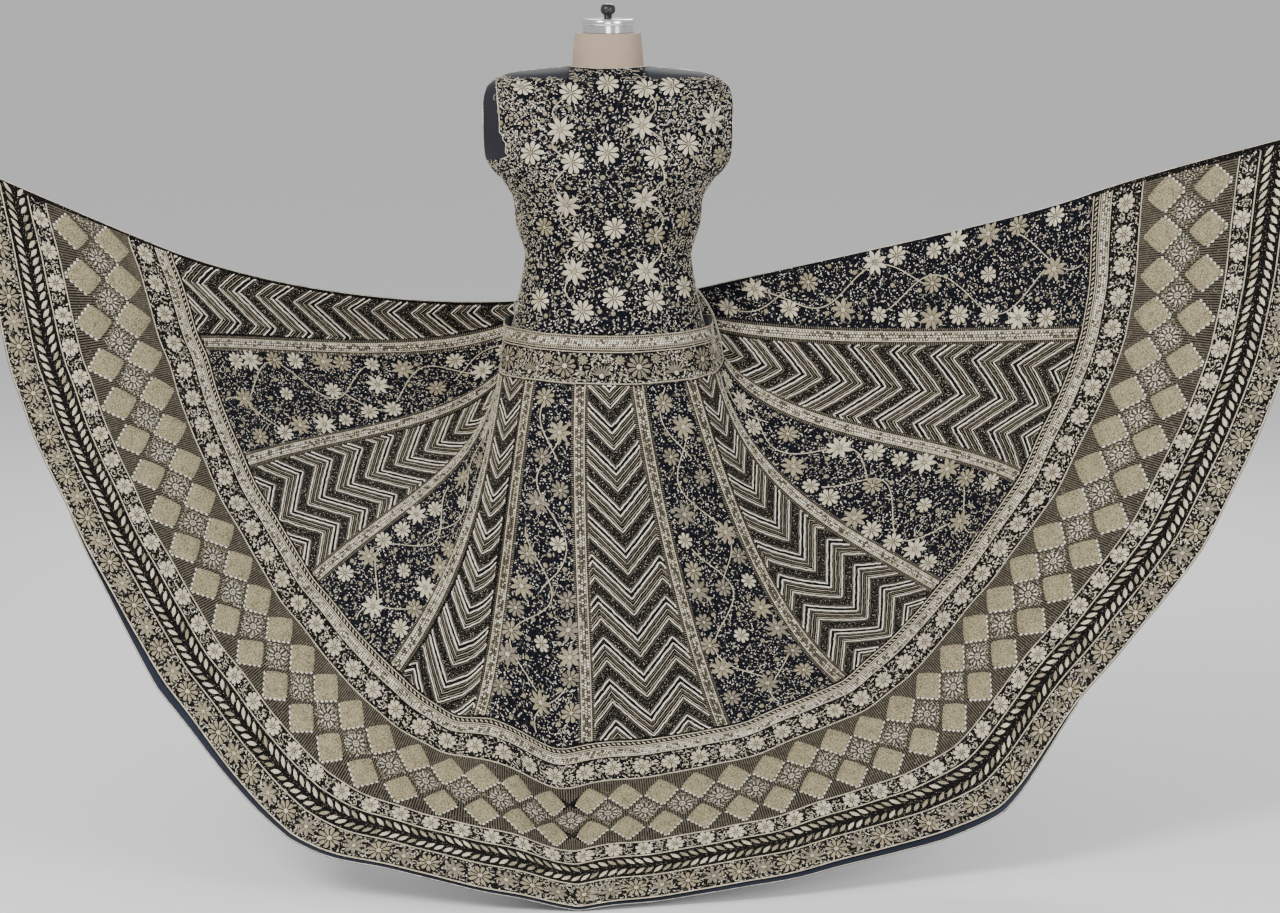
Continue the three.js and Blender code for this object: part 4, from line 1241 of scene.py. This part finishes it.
# %% The jersey over the form
ROWS, SIDES = 73, 72
q = np.linspace(0, len(FORM_RINGS) - 1, ROWS)
turns = np.broadcast_to(2 * np.pi * np.arange(SIDES) / SIDES, (ROWS, SIDES))
rings = form_out(q, turns, np.zeros((ROWS, SIDES)))
rings[..., 2] = ring_at(q)[:, :1]
points = np.concatenate([rings.reshape(-1, 3), [[0, 0, FORM_TOP], [0, 0, FORM_FOOT]]])
i = np.arange(ROWS * SIDES).reshape(ROWS, SIDES)
j = np.roll(i, -1, axis=1)
sides = np.stack([i[:-1], i[1:], j[1:], j[:-1]], -1).reshape(-1, 4)
sides = np.concatenate([sides[:, [0, 1, 2]], sides[:, [0, 2, 3]]])
caps = np.concatenate([np.stack([i[0], j[0], np.full(SIDES, ROWS * SIDES)], 1),
                       np.stack([j[-1], i[-1], np.full(SIDES, ROWS * SIDES + 1)], 1)])
jersey = Finish("beige cotton jersey", Sheen_Weight=0.2, Sheen_Roughness=0.5)
knit = jersey.waves(260, "X", 1.5, 2.0)
soft = jersey.noise(14, 3)
jersey_colour = jersey.mix(soft.step(0.3, 0.7) * 0.7 + knit * 0.15,
                           (0.40, 0.30, 0.225, 1), (0.32, 0.235, 0.17, 1))
jersey_beige = jersey.paint(jersey_colour, 0.85 - knit * 0.08, None, knit * 0.4 + soft, 0.25, 0.001)
torso = mesh_piece("torso_jersey", points, np.concatenate([sides, caps]), [jersey_beige], crease=40)
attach(torso, "root")
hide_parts("form_torso")
print("form:", len(sides) + len(caps), "triangles")

# %% The choli's shape
CHOLI_FACES = (1.3, 0.2)              # how far its outer and inner faces lie outside its own surface
ARM_TOP, ARM_BOTTOM, ARM_HALF, ARM_FLARE = 1268, 1114, 46, 12
PARTS = np.linspace(-1, 1, 49)        # across a half of the choli, armhole to armhole
CHOLI_Q = np.linspace(2, 16, 99)      # down the form's sections, shoulder to below the belt's top


def arm_half(z):
    """Half the armhole's width, front to back, at each height."""
    inside = np.clip(1 - (2 * (z - ARM_BOTTOM) / (ARM_TOP - ARM_BOTTOM) - 1)**2, 0, 1)
    return ARM_HALF * np.sqrt(inside)


def choli_points(middle):
    """One half of the choli: middle is the turn of its centre line, 0 in front and pi at the back."""
    rings = ring_at(CHOLI_Q)
    z, ease, square = rings[:, :1], rings[:, 5:6], rings[:, 4:5]
    depth = rings[:, 3:4] if middle else rings[:, 2:3]
    opening = np.maximum(arm_half(z), 0.15)
    reach = np.arccos(np.minimum((opening / (depth + ease)) ** (square / 2), 1))
    turn = PARTS * np.where((np.abs(PARTS) == 1) | (opening > 1), reach, math.pi / 2)
    points = form_out(CHOLI_Q, middle + turn, np.broadcast_to(ease, turn.shape))
    points[..., 0] += np.sign(points[..., 0]) * ARM_FLARE * (opening / ARM_HALF) * np.abs(PARTS) ** 6
    return points.transpose(1, 0, 2)


# %% Cut the choli
CHOLI = {}
for name, middle in (("choli_front", 0), ("choli_back", math.pi)):
    points = choli_points(middle)
    centre_line = points[len(PARTS) // 2]
    drop = np.concatenate([[0], np.cumsum(np.linalg.norm(np.diff(centre_line, axis=0), axis=1))])
    CHOLI[name] = Surface(PARTS, drop, points)
    u, v = np.meshgrid(PARTS, drop)
    piece = cut(name + "_cloth", [name], CHOLI[name], u, v, CHOLI_FACES, choli_ground, satin_backing,
                "stretched", ["form_torso"])
    piece.data.materials.append(plain_net)
print("choli:", [round(c, 3) for c in CLOTHS["choli_front_cloth"]["flat"]], "m flat")

# %% The plain net at one side and over the shoulders
EDGE_Z, EDGE_X = np.array([(1330, -204), (1285, -196), (1200, -186), (1150, -171), (1100, -400)]).T
SHOULDER_Z, NECK_HALF = 1285, 66      # above this height and outside the neck there is no needlework


def worked_edge(z):
    """Where the needlework starts, in x, at each height."""
    return np.interp(-z, -EDGE_Z, EDGE_X)


def is_plain(points):
    shoulder = (points[..., 2] > SHOULDER_Z) & (np.abs(points[..., 0]) > NECK_HALF)
    return (points[..., 0] < worked_edge(points[..., 2])) | shoulder


mesh = CLOTHS["choli_front_cloth"]["piece"].data
centres = np.zeros(len(mesh.polygons) * 3, np.float32)
looks = np.zeros(len(mesh.polygons), np.int32)
mesh.polygons.foreach_get("center", centres)
mesh.polygons.foreach_get("material_index", looks)
looks[(looks == 0) & is_plain(centres.reshape(-1, 3) / MM)] = 2
mesh.polygons.foreach_set("material_index", looks)
print((looks == 2).sum(), "faces of plain net")

# %% [markdown]
# ## The choli's jaal
# Large daisies and stars hang on branching vines. Each big flower has a place on the chest, x and
# height in mm, and the surface's nearest grid point turns that into u and v. The third number is its
# kind: a daisy, a star or a sand daisy.

# %% Flowers of the choli
FRONT_FLOWERS = [
    (-151, 1268, 0), (-65, 1260, 0), (-4, 1277, 0), (68, 1269, 0), (118, 1273, 0), (-82, 1200, 1),
    (56, 1205, 1), (-130, 1157, 0), (-60, 1144, 0), (6, 1162, 0), (82, 1153, 0), (137, 1174, 0),
    (178, 1214, 1), (196, 1150, 2), (-69, 1070, 1), (65, 1082, 1), (-112, 1030, 2), (-48, 1009, 0),
    (16, 1030, 0), (82, 1018, 2), (134, 1040, 2), (-57, 948, 1), (65, 954, 1), (-118, 896, 0),
    (-48, 887, 0), (13, 905, 0), (82, 896, 0), (132, 922, 0),
]
BACK_FLOWERS = [(x + (28 if r % 2 else -10), 1262 - 62 * r, (r + i) % 3)
                for r in range(7) for i, x in enumerate(range(-150, 160, 62))]
FRONT_VINES = [(1, 5), (3, 6), (5, 8), (6, 10), (8, 14), (10, 15), (14, 17), (15, 19), (17, 21),
               (19, 22), (21, 24), (22, 26)]      # from flower to flower, by their places in the list
BACK_VINES = [(i, i + 5) for i in range(0, 28, 3)]
CHOLI_DAISY, CHOLI_STAR = flower(9, 20.0, PETAL), star(8, 25.0, CREAM, eye=GOLD_PETAL)


def on_cloth(surface, x, z):
    """The u and v of the grid point nearest to x and height z."""
    place = surface.points[..., [0, 2]]
    i, j = np.unravel_index(np.hypot(place[..., 0] - x, place[..., 1] - z).argmin(), place.shape[:2])
    return surface.us[i], surface.vs[j]


print(len(FRONT_FLOWERS), "big flowers in front,", len(BACK_FLOWERS), "at the back")


# %% Sew the choli
def choli_work(name, flowers, vines):
    surface, face = CHOLI[name], CHOLI_FACES[0]
    work, rng = Needlework(surface), dice(220 + len(name))
    places = [on_cloth(surface, x, z) + (kind,) for x, z, kind in flowers]
    for kind, motif in enumerate((CHOLI_DAISY, CHOLI_STAR, SAND_DAISY)):
        here = [p for p in places if p[2] == kind]
        work.stamp(motif, [p[0] for p in here], [p[1] for p in here], rng.uniform(0, 6, len(here)), 1,
                   face + 0.6)
    t = np.linspace(0, 1, 13)
    for n, (a, b) in enumerate(vines):
        (ua, va, _), (ub, vb, _) = places[a], places[b]
        wide = float(surface.scale((ua + ub) / 2, (va + vb) / 2)[0])
        bulge = (24 if n % 2 else -24) / wide
        work.cords(ua + (ub - ua) * t + bulge * np.sin(math.pi * t) ** 1.2, va + (vb - va) * t, 2.2, 1.2,
                   CREAM, lift=face + CORD_LIFT)

    def allowed(u, v):
        point = surface.at(u, v)
        return (np.abs(u) < 0.975) & (v < surface.vs[-1] - 12) & ~(is_plain(point) & (name == "choli_front"))

    taken = [(u, v, 20) for u, v, _ in places]
    u, v = scatter(surface, rng, -1, 1, 6, surface.vs[-1] - 14, 47)
    keep = clear(surface, u, v, [(a, b, r + 7) for a, b, r in taken]) & allowed(u, v)
    work.stamp(BUD, u[keep], v[keep], 0, 1, face + 0.4)
    taken += [(a, b, 5) for a, b in zip(u[keep], v[keep])]
    fill(work, rng, -1, 1, 4, surface.vs[-1] - 10, taken, leaves=12.5, hooks=19.0, beads=5.4,
         allowed=allowed, lift=face + STITCH_LIFT)
    # a silver line round the edges
    v = surface.vs
    for side in (-0.995, 0.995):
        work.cords(np.full_like(v, side), v, 1.6, 0.9, SILVERY, lift=face + 0.2)
    u = surface.us
    work.cords(u, np.full_like(u, 0.8), 1.6, 0.9, SILVERY, lift=face + 0.2)
    if name == "choli_front":
        edge = [on_cloth(surface, worked_edge(z), z) for z in np.linspace(1290, 1118, 30)]
        work.cords(*np.array(edge).T, 2.0, 0.9, SILVERY, lift=face + 0.2)
    return work


for name, flowers, vines in (("choli_front", FRONT_FLOWERS, FRONT_VINES),
                             ("choli_back", BACK_FLOWERS, BACK_VINES)):
    stitches = choli_work(name, flowers, vines).sew(name + "_stitches", "choli_cloth")
    CLOTHS[name + "_cloth"]["work"].append(stitches)
print("choli stitches:", TALLY["choli_front_stitches"], TALLY["choli_back_stitches"])

# %% [markdown]
# ## Plain edges and the hem's lining
# The two free edges of the skirt are turned over to a narrow plain margin with one pale line, and the
# lining's edge has the same line. A rolled hem could be folded in the mesh, but at this thickness a
# raised cord along the edge gives the same look.

# %% Pale edge lines
v = between(GRID_V, BELT_WIDTH + 1, HEM)
for k, side in ((0, 0.004), (KALIS - 1, KALIS - 0.004)):
    work = Needlework(skirt)
    work.cords(np.full_like(v, side), v, 1.7, 0.8, SILVERY)
    stitches = work.sew(numbered("free_edge_line", k + 1), "border_cloth")
    CLOTHS[numbered("kali_cloth", k + 1)]["work"].append(stitches)
for k in LINED:
    work = Needlework(skirt)
    u = np.linspace(k, k + 1, 31)
    work.cords(u, HEM + np.maximum(lining_at(k, u) - 1.2, 0.5), 1.5, 0.6, SILVERY, lift=LINING_FACES[0] + 0.1)
    stitches = work.sew(numbered("lining_line", k + 1), "lining_cloth")
    CLOTHS[numbered("lining_cloth", k + 1)]["work"].append(stitches)
print("edge lines:", [n for n in TALLY if "line" in n])

# %% [markdown]
# ## Metal and plastic of the form
# The cap is bright chrome with fine turning marks, and the knob is black plastic. Both were turned, so
# a profile is spun round the middle, as Blender's Screw modifier would do, but with every ring where
# the frame has it. Pole and base keep their shape from the frame and only get finer finishes.

# %% A turned part
def spin(name, profile, sides, material, node):
    """A turned part. The profile is a list of radius and height."""
    profile = np.array(profile, float)
    turn = 2 * np.pi * np.arange(sides) / sides
    n = len(profile)
    points = np.stack([profile[:, :1] * np.cos(turn), profile[:, :1] * np.sin(turn),
                       np.repeat(profile[:, 1:], sides, 1)], -1).reshape(-1, 3)
    i = np.arange(n * sides).reshape(n, sides)
    j = np.roll(i, -1, axis=1)
    faces = np.stack([i[:-1], j[:-1], j[1:], i[1:]], -1).reshape(-1, 4)
    piece = mesh_piece(name, points, faces, [material], crease=35)
    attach(piece, "root")
    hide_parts(node)
    return piece


# %% Chrome, plastic and powder paint
metal = Finish("polished chrome", Metallic=1.0)
marks = metal.node("ShaderNodeTexNoise", {}, {
    "Vector": metal.node("ShaderNodeMapping", {}, {"Vector": metal.place, "Scale": (1, 1, 90)}),
    "Scale": 30, "Detail": 3.0}, output="Fac")
smudge = metal.noise(40, 3)
chrome = metal.paint(metal.mix(smudge.step(0.4, 0.7) * 0.4, (0.80, 0.80, 0.82, 1), (0.62, 0.62, 0.64, 1)),
                     0.07 + smudge * 0.12 + marks * 0.05, None, marks, 0.08, 0.0004)
plastic = Finish("black plastic", Coat_Weight=0.3, Coat_Roughness=0.2)
scuff = plastic.noise(120, 4)
black = plastic.mix(scuff.step(0.45, 0.8) * 0.6, (0.012, 0.012, 0.014, 1), (0.05, 0.05, 0.052, 1))
black_plastic = plastic.paint(black, 0.28 + scuff * 0.2, None, scuff, 0.15, 0.0005)
plate = Finish("black powder paint")
orange_peel = plate.noise(700, 2)
dust = plate.noise(12, 5)
dusty_black = plate.mix(dust.step(0.5, 0.8) * 0.5, (0.014, 0.014, 0.015, 1), (0.055, 0.053, 0.05, 1))
black_plate = plate.paint(dusty_black, 0.42 + dust * 0.2, None, orange_peel, 0.3, 0.0004)
print("hard finishes:", chrome.name + ",", black_plastic.name, "and", black_plate.name)

# %% The cap, the knob, the pole and the base
CAP, KNOB = 1361.3, 1385.6            # heights of their undersides
CAP_PROFILE = [(0, 0), (43.2, 0), (44.6, 0.8), (44.8, 12.6), (45.6, 13.4), (46, 14.4), (46, 20.6),
               (45.5, 22.4), (44.2, 23.6), (42, 24), (20, 24), (0, 24)]
KNOB_PROFILE = [(0, 0), (6.6, 0), (7, 0.6), (7, 5), (8.6, 7.4), (11.6, 9.6), (12.9, 13), (13, 17),
                (12.2, 21), (9.8, 24.2), (6, 25.7), (0, 26)]
spin("cap_chrome", [(r, CAP + h) for r, h in CAP_PROFILE], 96, chrome, "form_neck_cap")
spin("knob_plastic", [(r, KNOB + h) for r, h in KNOB_PROFILE], 64, black_plastic, "form_knob")
for node, material in (("form_pole", chrome), ("form_base", black_plate)):
    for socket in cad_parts[node].material_slots:
        socket.material = material
print("spun a cap and a knob, and finished the pole and the base")

# %% [markdown]
# The sizes each sheet was cut to could be typed in from a pattern, but they are measured on the outer
# faces above, so they stay true when a number in the table changes. The loop below only reads them.

# %% Sheets
for name, c in CLOTHS.items():
    width, length = c["flat"]
    min(c["area"], width * length)
print(len(CLOTHS), "sheets,", sum(TALLY.values()), "triangles of needlework")

# %% [markdown]
# ## Floor, light and camera
# A plain pale floor and large soft lamps, as in a small studio. The pale world alone would light the
# cloth evenly and hide the relief, so a stronger key lamp rakes over it from the left. The camera stands
# seven metres back with a long lens, a little above the form's neck, and looks slightly down.

# %% Floor
floor_finish = Finish("pale studio floor")
speck = floor_finish.noise(3, 2)
floor_colour = floor_finish.mix(speck * 0.3, (0.86, 0.855, 0.845, 1), (0.82, 0.815, 0.805, 1))
floor_material = floor_finish.paint(floor_colour, 0.85)
bpy.ops.mesh.primitive_plane_add(size=240, location=(0, 0, -0.0005))
floor = bpy.context.object
floor.name = "studio_floor"
floor.data.materials.append(floor_material)
print("floor:", floor.name)


# %% Lamps
def lamp(name, place, target, size, power, warmth=(1, 1, 1)):
    """A round soft lamp, size metres across, that looks at target."""
    light = bpy.data.lights.new(name, "AREA")
    light.shape, light.size, light.energy, light.color = "DISK", size, power, warmth
    holder = bpy.data.objects.new(name, light)
    bpy.context.scene.collection.objects.link(holder)
    holder.location = place
    holder.rotation_euler = (Vector(target) - Vector(place)).to_track_quat("-Z", "Y").to_euler()


lamp("key", (-2.6, -3.6, 3.4), (0, -0.3, 0.6), 2.0, 215, (1.0, 0.97, 0.93))
lamp("fill", (3.4, -3.8, 2.2), (0, -0.3, 0.6), 2.4, 120, (0.95, 0.97, 1.0))
lamp("front", (0.2, -5.6, 1.4), (0, -0.4, 0.5), 2.0, 45)
lamp("back", (0.4, 3.2, 3.2), (0, 0, 0.9), 2.0, 90)

# %% A pale world round it all
world = bpy.data.worlds.new("studio")
world.use_nodes = True
world.node_tree.nodes["Background"].inputs["Color"].default_value = (0.80, 0.81, 0.83, 1)
world.node_tree.nodes["Background"].inputs["Strength"].default_value = 0.8
bpy.context.scene.world = world

# %% Camera
SENSOR_MM, LENS_MM, FAR_M = 36, 112.22, 100
CAMERA_PLACE, LOOKS_DOWN = (0.056, -7.0, 1.72), 9      # metres, and degrees below level
camera_data = bpy.data.cameras.new("camera")
camera_data.sensor_fit, camera_data.sensor_width, camera_data.lens = "HORIZONTAL", SENSOR_MM, LENS_MM
camera_data.clip_end = FAR_M
camera = bpy.data.objects.new("camera", camera_data)
bpy.context.scene.collection.objects.link(camera)
camera.location = CAMERA_PLACE
camera.rotation_euler = (math.radians(90 - LOOKS_DOWN), 0, 0)
bpy.context.scene.camera = camera
print("camera at", CAMERA_PLACE, "looking", LOOKS_DOWN, "degrees down")
